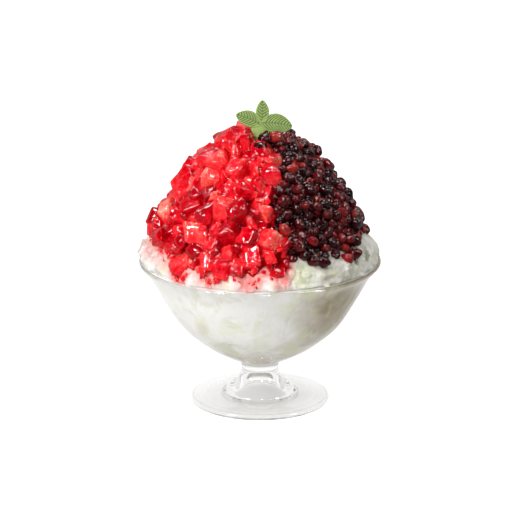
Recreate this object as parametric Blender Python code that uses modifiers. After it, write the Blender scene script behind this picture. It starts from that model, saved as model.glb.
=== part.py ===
"""Bingsu: a footed glass bowl filled and heaped with shaved ice, under a layer of chopped
strawberries on one side and of sweet red beans on the other, with a moulded leaf on top.

Blender 4.5, metres, +Z up. The origin is on the bowl's axis, on the surface it stands on, and
-Y is the side that faces the eater. Azimuths are in degrees from -Y towards +X.
"""

import math
import random

import bmesh
import bpy
from mathutils import Euler, Matrix, Vector, noise

MM = 0.001
GAP = 0.3 * MM
TURN_STEPS = 40
TOLERANCE = 0.3 * MM
WELD = 0.01 * MM

# The glass bowl. Stations are (radius, height) on the outside, from the lip down to the foot.
WALL = 2.6 * MM
ROUND_STEPS = 4
WALL_STATIONS = [
    (82.4, 99.0),
    (78.2, 94.2),
    (74.0, 88.0),
    (66.2, 74.0),
    (54.6, 56.0),
    (38.0, 41.6),
    (23.5, 33.0),
]
STEM_STATIONS = [
    (15.5, 29.2),
    (12.9, 24.0),
    (14.9, 16.9),
    (19.8, 12.0),
    (25.3, 7.4),
    (44.5, 4.6),
]
INNER_BOTTOM_STATIONS = [(15.0, 30.6), (7.5, 28.0), (0.0, 27.4)]
FOOT_RADIUS = 47.8 * MM
FOOT_EDGE = 2.0 * MM
FOOT_RING_INNER = 38.0 * MM
# The hollow that is pressed into the foot and the stem from below.
HOLLOW_STATIONS = [(30.0, 1.2), (19.0, 2.0), (10.8, 12.0), (6.2, 17.8), (0.0, 19.6)]
GLASS_COLOUR = (0.93, 0.95, 0.94)

# The ice mound. Stations are (radius, height) from the lip of the bowl up to the top of the mound.
MOUND_STATIONS = [
    (79.6, 102.2),
    (79.6, 105.5),
    (78.2, 110.0),
    (75.4, 114.5),
    (71.6, 118.8),
    (64.0, 127.0),
    (51.5, 139.5),
    (35.5, 154.5),
    (18.0, 166.0),
    (0.0, 170.0),
]
ICE_RELIEF = 2.2 * MM
ICE_LUMP = 11.0 * MM
ICE_RELIEF_FADE = 3.0 * MM
ICE_COLOUR = (0.92, 0.93, 0.90)

# The toppings together fill a dome, a superellipse turned about an axis near the bowl's own. It
# stays a layer above the ice and inside the lip.
HEAP_RADIUS = 79.0 * MM
HEAP_BASE_Z = 100.0 * MM
HEAP_HEIGHT = 98.0 * MM
HEAP_POWER = 1.6
HEAP_SHIFT = Vector((-1.5 * MM, 0.0, 0.0))
HEAP_MOST_RADIUS = 80.5 * MM
LAYER = 4.0 * MM
LAYER_TOP_RISE = 0.4
# The lower edge of the toppings, and the tongues in which they hang further down over the ice:
# (azimuth, how far down in mm, half width in degrees).
EDGE_Z = 120.0 * MM
EDGE_WAVER = 2.0 * MM
TONGUES = [
    (-43.0, 16.0, 8.0),
    (-20.0, 11.0, 8.0),
    (-5.0, 15.0, 8.0),
    (26.0, 5.0, 6.0),
    (47.0, 3.0, 9.0),
    (112.0, 5.0, 12.0),
    (150.0, 9.0, 10.0),
    (-165.0, 12.0, 12.0),
    (-118.0, 8.0, 12.0),
]

# The packed core that the pieces of topping stand out of.
CORE_SINK = 4.0 * MM
CORE_SKIRT = 1.2 * MM
CORE_LIFT = 2.5 * MM
CORE_ROWS = 16
CORE_TOP_RISE = 0.995

# The line between the toppings, seen from above: (x, y) from the front to the back.
SEAM_STATIONS = [
    (21.0, -95.0),
    (22.0, -74.0),
    (21.0, -67.0),
    (11.0, -60.0),
    (8.5, -48.0),
    (12.5, -36.0),
    (9.0, -25.0),
    (-3.5, -13.0),
    (-4.0, 12.0),
    (6.0, 50.0),
    (10.0, 95.0),
]
SEAM_SPARE = 2.0 * MM
ARC_STEPS = 200

# The blocks that the toppings are cut with reach this far past them.
HEAP_BLOCK_WIDTH = 120.0 * MM
HEAP_BLOCK_HEIGHT = 240.0 * MM
HEAP_BLOCK_BELOW = 7.0 * MM

DICE_SIZE = 10.8 * MM
DICE_STRETCH = [(0.8, 1.2), (0.8, 1.1), (0.65, 1.0)]
DICE_SKEW = 0.08
DICE_DEPTH = (0.49, 0.75)
BEAN_LENGTH = 9.0 * MM
BEAN_WIDTH = 6.6 * MM
BEAN_TILT = 0.7
BEAN_DEPTH = (0.3, 0.65)
PIECE_SIZES = (0.85, 1.15)
ROW_PITCH = 0.88
PLACE_JITTER = 0.3
# side is the sign of x on the topping's side of the seam, pitch the distance between its pieces,
# voxel the fineness in which they are fused, and triangles what the fused heap is thinned to.
TOPPINGS = {
    "chopped_strawberries": {
        "side": -1,
        "pitch": 11.4 * MM,
        "voxel": 1.2 * MM,
        "triangles": 1750,
        "seed": 7,
        "colour": (0.72, 0.03, 0.03),
    },
    "sweet_red_beans": {
        "side": 1,
        "pitch": 7.4 * MM,
        "voxel": 0.9 * MM,
        "triangles": 2000,
        "seed": 11,
        "colour": (0.10, 0.015, 0.015),
    },
}

# The leaf, a flat moulding. Each lobe is (root u, root v, length, width, direction in degrees, bow,
# thickness): the bow is how far its middle line swings to its right.
LEAF_LOBES = {
    "left": (3.6, 8.0, 18.6, 11.0, 156.5, 0.9, 1.9),
    "top": (3.5, 9.0, 16.1, 9.0, 87.0, 0.4, 2.1),
    "right": (2.2, 9.5, 22.2, 13.4, -5.9, -1.1, 2.0),
}
LOBE_POINTS = 14
LOBE_FULLNESS = 0.62
LEAF_STEM = [
    (-2.9, 7.6),
    (-1.9, 3.0),
    (-1.0, 0.0),
    (-1.0, -8.0),
    (1.0, -8.0),
    (1.0, 0.0),
    (2.8, 3.2),
    (6.5, 6.5),
    (4.0, 9.0),
]
LEAF_STEM_THICKNESS = 1.7 * MM
LEAF_FOOT = Vector((-2.6, -14.5, 190.6)) * MM
LEAF_LEAN = math.radians(-20.0)
LEAF_COLOUR = (0.27, 0.39, 0.13)


# ---------------------------------------------------------------- curves and small formulas


def smooth_path(stations, per_span):
    """A Catmull-Rom curve through stations in mm, as points in metres, with per_span pieces between two."""
    ends = [stations[0], *stations, stations[-1]]
    path = []
    for a, b, c, d in zip(ends, ends[1:], ends[2:], ends[3:], strict=False):
        for step in range(per_span):
            t = step / per_span
            path.append(tuple(catmull(p, t) * MM for p in zip(a, b, c, d, strict=True)))
    path.append(tuple(value * MM for value in stations[-1]))
    return path


def catmull(p, t):
    """One coordinate of a Catmull-Rom span between p[1] and p[2]."""
    a, b, c, d = p
    return b + 0.5 * t * (c - a + t * (2 * a - 5 * b + 4 * c - d + t * (3 * (b - c) + d - a)))


def along(path, key, value, other):
    """A path's coordinate numbered other, where its coordinate numbered key passes value."""
    for p, q in zip(path, path[1:], strict=False):
        if min(p[key], q[key]) <= value <= max(p[key], q[key]) and p[key] != q[key]:
            t = (value - p[key]) / (q[key] - p[key])
            return p[other] + t * (q[other] - p[other])
    return path[-1][other]


def clamped(value):
    return max(0.0, min(1.0, value))


def thinned(path):
    """The path with only as many of its points as keep it within the tolerance of its full shape."""
    start, end = Vector(path[0]), Vector(path[-1])
    chord = end - start
    worst, index = 0.0, 0
    for i in range(1, len(path) - 1):
        arm = Vector(path[i]) - start
        share = clamped(arm.dot(chord) / chord.length_squared)
        away = (arm - chord * share).length
        if away > worst:
            worst, index = away, i
    if worst <= TOLERANCE:
        return [path[0], path[-1]]
    return thinned(path[: index + 1])[:-1] + thinned(path[index:])


def offset(path, distance):
    """The path moved sideways, to the left of its direction, in the plane of radius and height."""
    moved = []
    for i, point in enumerate(path):
        before, after = path[max(i - 1, 0)], path[min(i + 1, len(path) - 1)]
        tangent = Vector((after[0] - before[0], after[1] - before[1])).normalized()
        moved.append((point[0] - tangent.y * distance, point[1] + tangent.x * distance))
    return moved


def half_circle(start, end, bulge):
    """Points between start and end on a half circle that bulges towards the unit vector bulge."""
    middle = (Vector(start) + Vector(end)) / 2
    arm = Vector(start) - middle
    points = []
    for i in range(1, ROUND_STEPS):
        angle = math.pi * i / ROUND_STEPS
        points.append(tuple(middle + arm * math.cos(angle) + bulge * arm.length * math.sin(angle)))
    return points


def azimuth_of(point):
    return math.degrees(math.atan2(point.x, -point.y))


def topping_edge(azimuth):
    """The height at which the toppings end on the ice."""
    drop = 0.0
    for centre, depth, width in TONGUES:
        away = abs((azimuth - centre + 180.0) % 360.0 - 180.0)
        drop = max(drop, depth * MM * math.exp(-((away / width) ** 2)))
    angle = math.radians(azimuth)
    waver = noise.noise(Vector((math.sin(angle), math.cos(angle), 0.3)) * 4.0)
    return EDGE_Z - drop + waver * EDGE_WAVER


def dome_point(azimuth, rise):
    """A point on the toppings' dome. rise is 0 at its base and 1 at its top."""
    swing = rise * math.pi / 2
    radius = HEAP_RADIUS * math.cos(swing) ** (2 / HEAP_POWER)
    height = HEAP_HEIGHT * math.sin(swing) ** (2 / HEAP_POWER)
    angle = math.radians(azimuth)
    spot = Vector((radius * math.sin(angle), -radius * math.cos(angle), HEAP_BASE_Z + height)) + HEAP_SHIFT
    return pushed_out(spot, LAYER) if rise < LAYER_TOP_RISE else spot


def pushed_out(point, layer):
    """The point moved away from the axis until it is this far outside the ice, but inside the lip."""
    flat = Vector((point.x, point.y, 0.0))
    least = min(mound_radius(point.z) + layer, HEAP_MOST_RADIUS)
    if flat.length < least:
        return point + flat.normalized() * (least - flat.length)
    return point


def dome_normal(azimuth, rise):
    step = 0.002
    up = dome_point(azimuth, min(rise + step, 1.0)) - dome_point(azimuth, rise - step)
    side = dome_point(azimuth + 0.5, rise) - dome_point(azimuth - 0.5, rise)
    normal = side.cross(up)
    return normal.normalized() if normal.length > 0 else Vector((0.0, 0.0, 1.0))


SEAM_PATH = smooth_path(SEAM_STATIONS, 4)
MOUND_PATH = thinned(smooth_path(MOUND_STATIONS, 3))
MOUND_TOP = MOUND_STATIONS[-1][1] * MM


def seam_x(y):
    return along(SEAM_PATH, 1, y, 0)


def mound_radius(z):
    return along(MOUND_PATH, 1, z, 0) if z < MOUND_TOP else 0.0


# ---------------------------------------------------------------- objects


def collection(name):
    made = bpy.data.collections.new(name)
    bpy.context.scene.collection.children.link(made)
    return made


def material(name, colour, roughness, transmission=0.0):
    made = bpy.data.materials.new(name)
    made.use_nodes = True
    shader = made.node_tree.nodes["Principled BSDF"]
    shader.inputs["Base Color"].default_value = (*colour, 1.0)
    shader.inputs["Roughness"].default_value = roughness
    shader.inputs["Transmission Weight"].default_value = transmission
    made.diffuse_color = (*colour, 1.0)
    return made


def add_object(name, mesh, where, finish=None):
    made = bpy.data.objects.new(name, mesh)
    where.objects.link(made)
    if finish is None:
        made.hide_render = True
        made.display_type = "WIRE"
    else:
        mesh.materials.append(finish)
    return made


def turned(name, profile, where, finish=None):
    """A solid turned about Z from a profile that runs from the axis, over the outside, back to the axis."""
    mesh = bpy.data.meshes.new(name)
    mesh.from_pydata([(r, 0.0, z) for r, z in profile], [(i, i + 1) for i in range(len(profile) - 1)], [])
    made = add_object(name, mesh, where, finish)
    screw = made.modifiers.new("Turn", "SCREW")
    screw.axis = "Z"
    screw.steps = screw.render_steps = TURN_STEPS
    screw.use_merge_vertices = True
    screw.merge_threshold = 0.00001
    screw.use_smooth_shade = True
    return made


def applied(made):
    """Puts the shape that the object's modifiers give into its own mesh."""
    graph = bpy.context.evaluated_depsgraph_get()
    mesh = bpy.data.meshes.new_from_object(made.evaluated_get(graph))
    made.modifiers.clear()
    made.data = mesh
    return made


def boolean(made, operation, other, crumpled=False):
    """A Boolean modifier. crumpled is for a mesh whose faces may cross each other slightly."""
    cut = made.modifiers.new(f"{operation.title()} {other.name}", "BOOLEAN")
    cut.operation = operation
    cut.solver = "EXACT"
    cut.use_self = crumpled
    cut.object = other


def face_count(made):
    graph = bpy.context.evaluated_depsgraph_get()
    mesh = made.evaluated_get(graph).to_mesh()
    mesh.calc_loop_triangles()
    count = len(mesh.loop_triangles)
    made.evaluated_get(graph).to_mesh_clear()
    return count


def flat_curve(name, outline, thickness):
    """A filled flat outline in the XY plane, with its thickness half above the plane and half below."""
    curve = bpy.data.curves.new(name, "CURVE")
    curve.dimensions = "2D"
    curve.fill_mode = "BOTH"
    curve.extrude = thickness / 2
    spline = curve.splines.new("POLY")
    spline.points.add(len(outline) - 1)
    for point, (x, y) in zip(spline.points, outline, strict=True):
        point.co = (x, y, 0.0, 1.0)
    spline.use_cyclic_u = True
    return curve


def from_curve(curve, place, where):
    """A curve as a closed mesh object at its place. The object is a helper until it is shown."""
    flat = bpy.data.objects.new(f"{curve.name}_outline", curve)
    where.objects.link(flat)
    graph = bpy.context.evaluated_depsgraph_get()
    mesh = bpy.data.meshes.new_from_object(flat.evaluated_get(graph))
    bpy.data.objects.remove(flat)
    bm = bmesh.new()
    bm.from_mesh(mesh)
    bmesh.ops.remove_doubles(bm, verts=bm.verts, dist=WELD / 10)
    bmesh.ops.transform(bm, matrix=place, verts=bm.verts)
    bm.to_mesh(mesh)
    bm.free()
    return add_object(curve.name, mesh, where)


# ---------------------------------------------------------------- the glass bowl


def wall_outside():
    return smooth_path(WALL_STATIONS, 3)


def wall_inside():
    """The inner wall from the lip down to where the rounded bottom begins."""
    return offset(wall_outside(), -WALL)


def inner_path():
    """The inside of the bowl from the lip to the axis."""
    wall = wall_inside()
    last = tuple(value / MM for value in wall[-1])
    return thinned(wall[:-1] + smooth_path([last, *INNER_BOTTOM_STATIONS], 3))


def make_bowl(where):
    outside = wall_outside()
    inside = inner_path()
    lip_way = (Vector(outside[0]) - Vector(outside[1])).normalized()
    lip = half_circle(inside[0], outside[0], lip_way)
    stem = smooth_path([WALL_STATIONS[-1], *STEM_STATIONS], 3)
    edge_top = (FOOT_RADIUS - FOOT_EDGE, 2 * FOOT_EDGE)
    edge_bottom = (FOOT_RADIUS - FOOT_EDGE, 0.0)
    outer = thinned(outside[:-1] + stem + [edge_top])
    foot_edge = half_circle(edge_top, edge_bottom, Vector((1.0, 0.0)))
    underside = [edge_bottom, (FOOT_RING_INNER, 0.0), *smooth_path(HOLLOW_STATIONS, 1)]
    profile = inside[::-1] + lip + outer + foot_edge + underside
    turned("glass_bowl", profile, where, material("clear glass", GLASS_COLOUR, 0.03, transmission=1.0))


# ---------------------------------------------------------------- the ice


def in_bowl_path():
    """The side of the ice that meets the glass, from the lip to the axis, a gap inside the glass."""
    path = offset(inner_path(), -GAP)
    path[-1] = (0.0, path[-1][1])
    return path


def make_ice(where):
    """The ice, with shallow hollows in the band of it that no topping covers."""
    profile = MOUND_PATH[::-1] + in_bowl_path()
    ice = applied(turned("shaved_ice", profile, where, material("shaved ice", ICE_COLOUR, 0.45)))
    for vertex in ice.data.vertices:
        point = vertex.co
        bare_share = clamped((topping_edge(azimuth_of(point)) - point.z) / ICE_RELIEF_FADE)
        over_lip = clamped((point.z - MOUND_PATH[0][1]) / ICE_RELIEF_FADE)
        hollow = 0.5 + 0.5 * noise.noise(point / ICE_LUMP)
        inwards = Vector((-point.x, -point.y, 0.0)).normalized()
        vertex.co = point + inwards * bare_share * over_lip * hollow * ICE_RELIEF


def make_ice_clearance(where):
    """The ice mound grown by the gap, to cut the toppings with."""
    grown = offset(MOUND_PATH, -GAP)
    grown[-1] = (0.0, grown[-1][1])
    base = MOUND_PATH[0][1] - HEAP_BLOCK_BELOW
    return turned("ice_clearance", grown[::-1] + [(grown[0][0], base), (0.0, base)], where)


# ---------------------------------------------------------------- the toppings


def make_side(name, where, side, margin):
    """A block over one side of the seam, drawn back from it by the margin."""
    shifted = [(x + side * margin, y) for x, y in SEAM_PATH]
    far = side * HEAP_BLOCK_WIDTH
    outline = [*shifted, (far, shifted[-1][1]), (far, shifted[0][1])]
    curve = flat_curve(name, outline, HEAP_BLOCK_HEIGHT)
    return from_curve(curve, Matrix.Translation((0.0, 0.0, HEAP_BASE_Z + HEAP_BLOCK_HEIGHT / 4)), where)


def core_point(azimuth, rise):
    """A point on the packed core under the pieces: below the dome, but at least a skirt over the ice."""
    point = dome_point(azimuth, rise) - dome_normal(azimuth, rise) * CORE_SINK
    return pushed_out(point, CORE_SKIRT) if rise < 0.5 else point


def rise_at(height):
    share = (height - HEAP_BASE_Z) / HEAP_HEIGHT
    return math.asin(share ** (HEAP_POWER / 2)) / (math.pi / 2)


def add_core(bm):
    """A closed dome: its rows go from the axis inside the ice, over the toppings' edge, up to the top."""
    grid = bmesh.ops.create_grid(bm, x_segments=TURN_STEPS, y_segments=CORE_ROWS + 1, size=1.0)["verts"]
    for vertex in grid:
        azimuth = vertex.co.x * 180.0
        row = round((vertex.co.y + 1) / 2 * (CORE_ROWS + 1))
        if row == 0:
            vertex.co = Vector((0.0, 0.0, MOUND_PATH[0][1]))
        elif row == CORE_ROWS + 1:
            vertex.co = dome_point(0.0, 1.0) - Vector((0.0, 0.0, CORE_SINK))
        else:
            low = rise_at(topping_edge(azimuth) + CORE_LIFT)
            vertex.co = core_point(azimuth, low + (CORE_TOP_RISE - low) * (row - 1) / CORE_ROWS)
    bmesh.ops.remove_doubles(bm, verts=grid, dist=WELD)


def row_rises(pitch):
    """The rises of rows of pieces, a row's pitch apart along the dome."""
    arc = [dome_point(0.0, i / ARC_STEPS) for i in range(ARC_STEPS + 1)]
    rises = []
    travelled = 0.0
    for i in range(1, len(arc)):
        travelled += (arc[i] - arc[i - 1]).length
        if travelled > pitch * (0.5 + ROW_PITCH * len(rises)):
            rises.append(i / ARC_STEPS)
    return rises


def places(pitch, side, rng):
    """(azimuth, rise) of pieces about a pitch apart over one side's part of the dome."""
    found = []
    for rise in row_rises(pitch):
        ring = (dome_point(90.0, rise) - HEAP_SHIFT).xy.length
        count = max(1, round(2 * math.pi * ring / pitch))
        turn = rng.uniform(0.0, 360.0)
        for k in range(count):
            azimuth = turn + 360.0 * (k + rng.uniform(-PLACE_JITTER, PLACE_JITTER)) / count
            spot = dome_point(azimuth, rise)
            on_its_side = (spot.x - seam_x(spot.y)) * side > 0
            if on_its_side and spot.z > topping_edge(azimuth) + EDGE_WAVER:
                found.append((azimuth, rise))
    return found


def add_die(bm, spot, normal, rng):
    """An uneven dice of fruit with its middle a little under the dome, turned any way."""
    size = DICE_SIZE * rng.uniform(*PIECE_SIZES)
    place = Matrix.Translation(spot - normal * size * rng.uniform(*DICE_DEPTH))
    turn = Euler([rng.uniform(0.0, math.tau) for _ in range(3)]).to_matrix().to_4x4()
    stretch = Matrix.Diagonal([rng.uniform(*sides) for sides in DICE_STRETCH]).to_4x4()
    die = bmesh.ops.create_cube(bm, size=size, matrix=place @ turn @ stretch)
    for vertex in die["verts"]:
        vertex.co += Vector([rng.uniform(-1.0, 1.0) for _ in range(3)]) * size * DICE_SKEW


def add_bean(bm, spot, normal, rng):
    """An oval bean that lies on the dome, tilted a little."""
    size = rng.uniform(*PIECE_SIZES)
    place = Matrix.Translation(spot - normal * BEAN_WIDTH * rng.uniform(*BEAN_DEPTH))
    lie = normal.to_track_quat("Z", "Y").to_matrix().to_4x4()
    turn = Matrix.Rotation(rng.uniform(0.0, math.tau), 4, "Z")
    tilt = Matrix.Rotation(rng.uniform(-BEAN_TILT, BEAN_TILT), 4, "Y")
    shape = Matrix.Diagonal((BEAN_LENGTH, BEAN_WIDTH, BEAN_WIDTH)).to_4x4() * (size / 2)
    shape[3][3] = 1.0
    bmesh.ops.create_icosphere(bm, subdivisions=2, radius=1.0, matrix=place @ lie @ turn @ tilt @ shape)


PIECE_MAKERS = {"chopped_strawberries": add_die, "sweet_red_beans": add_bean}


def fused_pieces(name, topping):
    """A mesh of the core and the pieces on it, all still crossing each other."""
    rng = random.Random(topping["seed"])
    bm = bmesh.new()
    add_core(bm)
    for azimuth, rise in places(topping["pitch"], topping["side"], rng):
        PIECE_MAKERS[name](bm, dome_point(azimuth, rise), dome_normal(azimuth, rise), rng)
    bmesh.ops.recalc_face_normals(bm, faces=bm.faces)
    mesh = bpy.data.meshes.new(name)
    bm.to_mesh(mesh)
    bm.free()
    return mesh


def make_heap(name, topping, parts, helpers, ice, leaf):
    """One topping, fused into one lumpy body, thinned to few faces and cut to its place."""
    finish = material(name.replace("_", " "), topping["colour"], 0.2)
    heap = add_object(name, fused_pieces(name, topping), parts, finish)
    fuse = heap.modifiers.new("Fuse", "REMESH")
    fuse.mode = "VOXEL"
    fuse.voxel_size = topping["voxel"]
    applied(heap)
    boolean(heap, "INTERSECT", make_side(f"{name}_rough_side", helpers, topping["side"], -SEAM_SPARE))
    applied(heap)
    thin = heap.modifiers.new("Thin", "DECIMATE")
    thin.ratio = topping["triangles"] / face_count(heap)
    side = make_side(f"{name}_side", helpers, topping["side"], GAP / 2)
    boolean(heap, "INTERSECT", side, crumpled=True)
    boolean(heap, "DIFFERENCE", ice)
    boolean(heap, "DIFFERENCE", leaf)


# ---------------------------------------------------------------- the leaf


def lobe_outline(root_u, root_v, length, width, direction, bow, grow):
    """A bluntly pointed oval from its root to its tip, grown on every side."""
    points = []
    for side in (1, -1):
        for i in range(LOBE_POINTS):
            t = i / LOBE_POINTS if side == 1 else 1 - i / LOBE_POINTS
            reach = -grow + t * (length + 2 * grow)
            half = (width / 2 + grow) * math.sin(math.pi * t) ** LOBE_FULLNESS
            points.append(Vector((reach, side * half - bow * math.sin(math.pi * t))))
    turn = Matrix.Rotation(math.radians(direction), 2)
    return [turn @ point + Vector((root_u, root_v)) for point in points]


def stem_outline(grow):
    """The outline of the stem, grown on every side."""
    middle = sum(u for u, _ in LEAF_STEM) / len(LEAF_STEM)
    low = min(v for _, v in LEAF_STEM)
    outline = []
    for u, v in LEAF_STEM:
        outwards = math.copysign(grow, u - middle)
        upwards = -grow if v == low else grow
        outline.append((u * MM + outwards, v * MM + upwards))
    return outline


def make_leaf(name, helpers, grow=0.0):
    """The stem with its three lobes joined on, larger all round by grow."""
    place = Matrix.Translation(LEAF_FOOT) @ Matrix.Rotation(math.pi / 2 + LEAF_LEAN, 4, "X")
    stem = flat_curve(name, stem_outline(grow), LEAF_STEM_THICKNESS + 2 * grow)
    leaf = from_curve(stem, place, helpers)
    for lobe, (u, v, length, width, direction, bow, thickness) in LEAF_LOBES.items():
        outline = lobe_outline(u * MM, v * MM, length * MM, width * MM, direction, bow * MM, grow)
        curve = flat_curve(f"{name}_{lobe}", outline, thickness * MM + 2 * grow)
        boolean(leaf, "UNION", from_curve(curve, place, helpers))
    return leaf


def show(made, where, finish):
    """Makes a helper one of the parts."""
    for owner in list(made.users_collection):
        owner.objects.unlink(made)
    where.objects.link(made)
    made.hide_render = False
    made.display_type = "TEXTURED"
    made.data.materials.append(finish)


# ---------------------------------------------------------------- the whole


def main():
    for old in list(bpy.data.objects):
        bpy.data.objects.remove(old, do_unlink=True)
    parts = collection("bingsu")
    helpers = collection("helpers")
    make_bowl(parts)
    make_ice(parts)
    show(make_leaf("leaf_garnish", helpers), parts, material("green moulding", LEAF_COLOUR, 0.55))
    ice_clearance = make_ice_clearance(helpers)
    leaf_clearance = make_leaf("leaf_clearance", helpers, GAP)
    for name, topping in TOPPINGS.items():
        make_heap(name, topping, parts, helpers, ice_clearance, leaf_clearance)


main()
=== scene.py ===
"""The looks of the bingsu: clear glass, flakes of shaved ice, dice of strawberry and sweet red beans
in syrup, and a moulded leaf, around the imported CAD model.

Blender 4.5, metres, +Z up. The origin is on the bowl's axis, on the surface it stands on, and -Y is
the side that faces the eater. Azimuths are in degrees from -Y towards +X.
"""

import math
import random

import bpy
import numpy as np
from mathutils import Euler, Matrix, Vector, noise


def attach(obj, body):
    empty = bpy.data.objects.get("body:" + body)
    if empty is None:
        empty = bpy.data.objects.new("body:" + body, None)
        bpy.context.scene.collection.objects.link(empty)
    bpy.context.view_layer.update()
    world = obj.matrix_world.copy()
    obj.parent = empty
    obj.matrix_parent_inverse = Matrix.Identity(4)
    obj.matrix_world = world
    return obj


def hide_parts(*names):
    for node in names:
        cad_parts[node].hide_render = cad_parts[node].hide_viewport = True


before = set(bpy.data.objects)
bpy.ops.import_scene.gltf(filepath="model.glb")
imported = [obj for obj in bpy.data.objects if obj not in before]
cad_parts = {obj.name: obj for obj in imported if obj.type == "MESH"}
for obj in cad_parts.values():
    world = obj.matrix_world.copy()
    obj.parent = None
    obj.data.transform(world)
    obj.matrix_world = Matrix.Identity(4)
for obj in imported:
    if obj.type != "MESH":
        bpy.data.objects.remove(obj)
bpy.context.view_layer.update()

MM = 0.001

# ---- The shapes that part.py builds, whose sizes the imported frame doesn't give.
WALL = 2.6
WALL_STATIONS = [
    (82.4, 99.0), (78.2, 94.2), (74.0, 88.0), (66.2, 74.0), (54.6, 56.0), (38.0, 41.6),
    (23.5, 33.0),
]
STEM_STATIONS = [
    (15.5, 29.2), (12.9, 25.2), (12.9, 22.0), (14.9, 16.9), (19.8, 12.0), (24.3, 8.6), (25.7, 7.0),
    (28.5, 6.4), (44.5, 4.6),
]
INNER_BOTTOM_STATIONS = [(15.0, 30.6), (7.5, 28.0), (0.0, 27.4)]
FOOT_EDGE_TOP = (45.8, 4.0)
UNDERSIDE_STATIONS = [
    (45.8, 0.0), (42.0, 0.0), (38.2, 0.02), (34.0, 0.6), (27.0, 1.3), (19.4, 1.9), (16.0, 4.6),
    (13.2, 8.6), (10.4, 12.6), (7.6, 16.0), (5.2, 18.3), (2.6, 19.35), (0.0, 19.6),
]
MOUND_STATIONS = [
    (79.6, 102.2), (79.6, 105.5), (78.2, 110.0), (75.4, 114.5), (71.6, 118.8), (64.0, 127.0),
    (51.5, 139.5), (35.5, 154.5), (18.0, 166.0), (0.0, 170.0),
]
HEAP_RADIUS = 79.0
HEAP_BASE_Z = 100.0
HEAP_HEIGHT = 98.0
HEAP_POWER = 1.6
HEAP_SHIFT_X = -1.5
HEAP_MOST_RADIUS = 80.5
LAYER = 4.0
LAYER_TOP_RISE = 0.4
EDGE_Z = 120.0
EDGE_WAVER = 2.0
TONGUES = [
    (-44.0, 18.0, 8.0), (-25.0, 13.0, 8.0), (-5.0, 15.0, 8.0), (11.0, 10.0, 6.0), (34.0, 8.0, 4.0),
    (47.0, 3.0, 9.0), (58.0, 9.0, 7.0), (112.0, 5.0, 12.0), (150.0, 9.0, 10.0),
    (-165.0, 12.0, 12.0), (-118.0, 8.0, 12.0),
]
SEAM_STATIONS = [
    (21.0, -95.0), (22.0, -74.0), (21.0, -67.0), (11.0, -60.0), (8.5, -48.0), (12.5, -36.0),
    (9.0, -25.0), (-3.5, -13.0), (-4.0, 12.0), (2.0, 26.0), (-1.0, 38.0), (7.0, 50.0), (9.0, 60.0),
    (1.0, 71.0), (4.0, 95.0),
]
BEAN_LENGTH = 9.0
BEAN_WIDTH = 6.6
LEAF_LOBES = {
    "left": (3.6, 8.0, 18.6, 11.0, 156.5, 0.9, 1.9),
    "top": (3.5, 9.0, 16.1, 9.0, 87.0, 0.4, 2.1),
    "right": (2.2, 9.5, 22.2, 13.4, -5.9, -1.1, 2.0),
}
LOBE_FULLNESS = 0.62
LEAF_FOOT = (-2.6, -14.5, 190.6)
LEAF_LEAN = math.radians(-20.0)

# ---- What only this script adds, in mm.
GLASS_TURN = 160
ICE_TURN = 300
INTO_GLASS = 0.15
MOUND_FOOT = MOUND_STATIONS[0][1]
# The rim's top and outside, and how far the pieces stay above the one and inside the other.
RIM_TOP = 101.2
RIM_RADIUS = 82.7
ABOVE_RIM, INSIDE_RIM = 0.4, 0.6


# ---------------------------------------------------------------- curves and small formulas, in mm


def catmull(p, t):
    a, b, c, d = p
    return b + 0.5 * t * (c - a + t * (2 * a - 5 * b + 4 * c - d + t * (3 * (b - c) + d - a)))


def smooth_path(stations, per_span):
    """A Catmull-Rom curve through the stations, with per_span pieces between two."""
    ends = [stations[0], *stations, stations[-1]]
    path = []
    for spans in zip(ends, ends[1:], ends[2:], ends[3:], strict=False):
        for step in range(per_span):
            path.append(tuple(catmull(p, step / per_span) for p in zip(*spans, strict=True)))
    return [*path, tuple(stations[-1])]


def offset(path, distance):
    """The path moved sideways, to the left of its direction."""
    moved = []
    for i, point in enumerate(path):
        before, after = path[max(i - 1, 0)], path[min(i + 1, len(path) - 1)]
        tangent = Vector((after[0] - before[0], after[1] - before[1])).normalized()
        moved.append((point[0] - tangent.y * distance, point[1] + tangent.x * distance))
    return moved


def half_circle(start, end, bulge, steps):
    middle = (Vector(start) + Vector(end)) / 2
    arm = Vector(start) - middle
    angles = [math.pi * i / steps for i in range(1, steps)]
    return [tuple(middle + arm * math.cos(a) + bulge * arm.length * math.sin(a)) for a in angles]


def along(path, key, value, other):
    """A path's coordinate numbered other, where its coordinate numbered key passes value."""
    for p, q in zip(path, path[1:], strict=False):
        if min(p[key], q[key]) <= value <= max(p[key], q[key]) and p[key] != q[key]:
            t = (value - p[key]) / (q[key] - p[key])
            return p[other] + t * (q[other] - p[other])
    return path[-1][other]


def clamped(value, low=0.0, high=1.0):
    return max(low, min(high, value))


def smoothstep(low, high, value):
    t = clamped((value - low) / (high - low))
    return t * t * (3 - 2 * t)


def azimuth_of(x, y):
    return math.degrees(math.atan2(x, -y))


def out_at(azimuth):
    """The level direction out from the axis at an azimuth."""
    angle = math.radians(azimuth)
    return math.sin(angle), -math.cos(angle)


def hat(azimuth, centre, width):
    """1 at the centre, and falling off smoothly within about this many degrees."""
    apart = (azimuth - centre + 180.0) % 360.0 - 180.0
    return math.exp(-((apart / width) ** 2))


def wavy(x, y, z, size, seed=0.0):
    """Smooth noise from about -1 to 1, with waves of this size."""
    return noise.noise(Vector((x / size + seed, y / size - seed, z / size + 2 * seed)))


SEAM_PATH = smooth_path(SEAM_STATIONS, 4)
SEAM_TABLE = tuple(np.array(SEAM_PATH)[:, column] for column in (1, 0))
MOUND_PATH = smooth_path(MOUND_STATIONS, 6)
MOUND_TOP = MOUND_STATIONS[-1][1]


def seam_x(y):
    """Where the strawberries end and the beans begin."""
    return along(SEAM_PATH, 1, y, 0)


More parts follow.
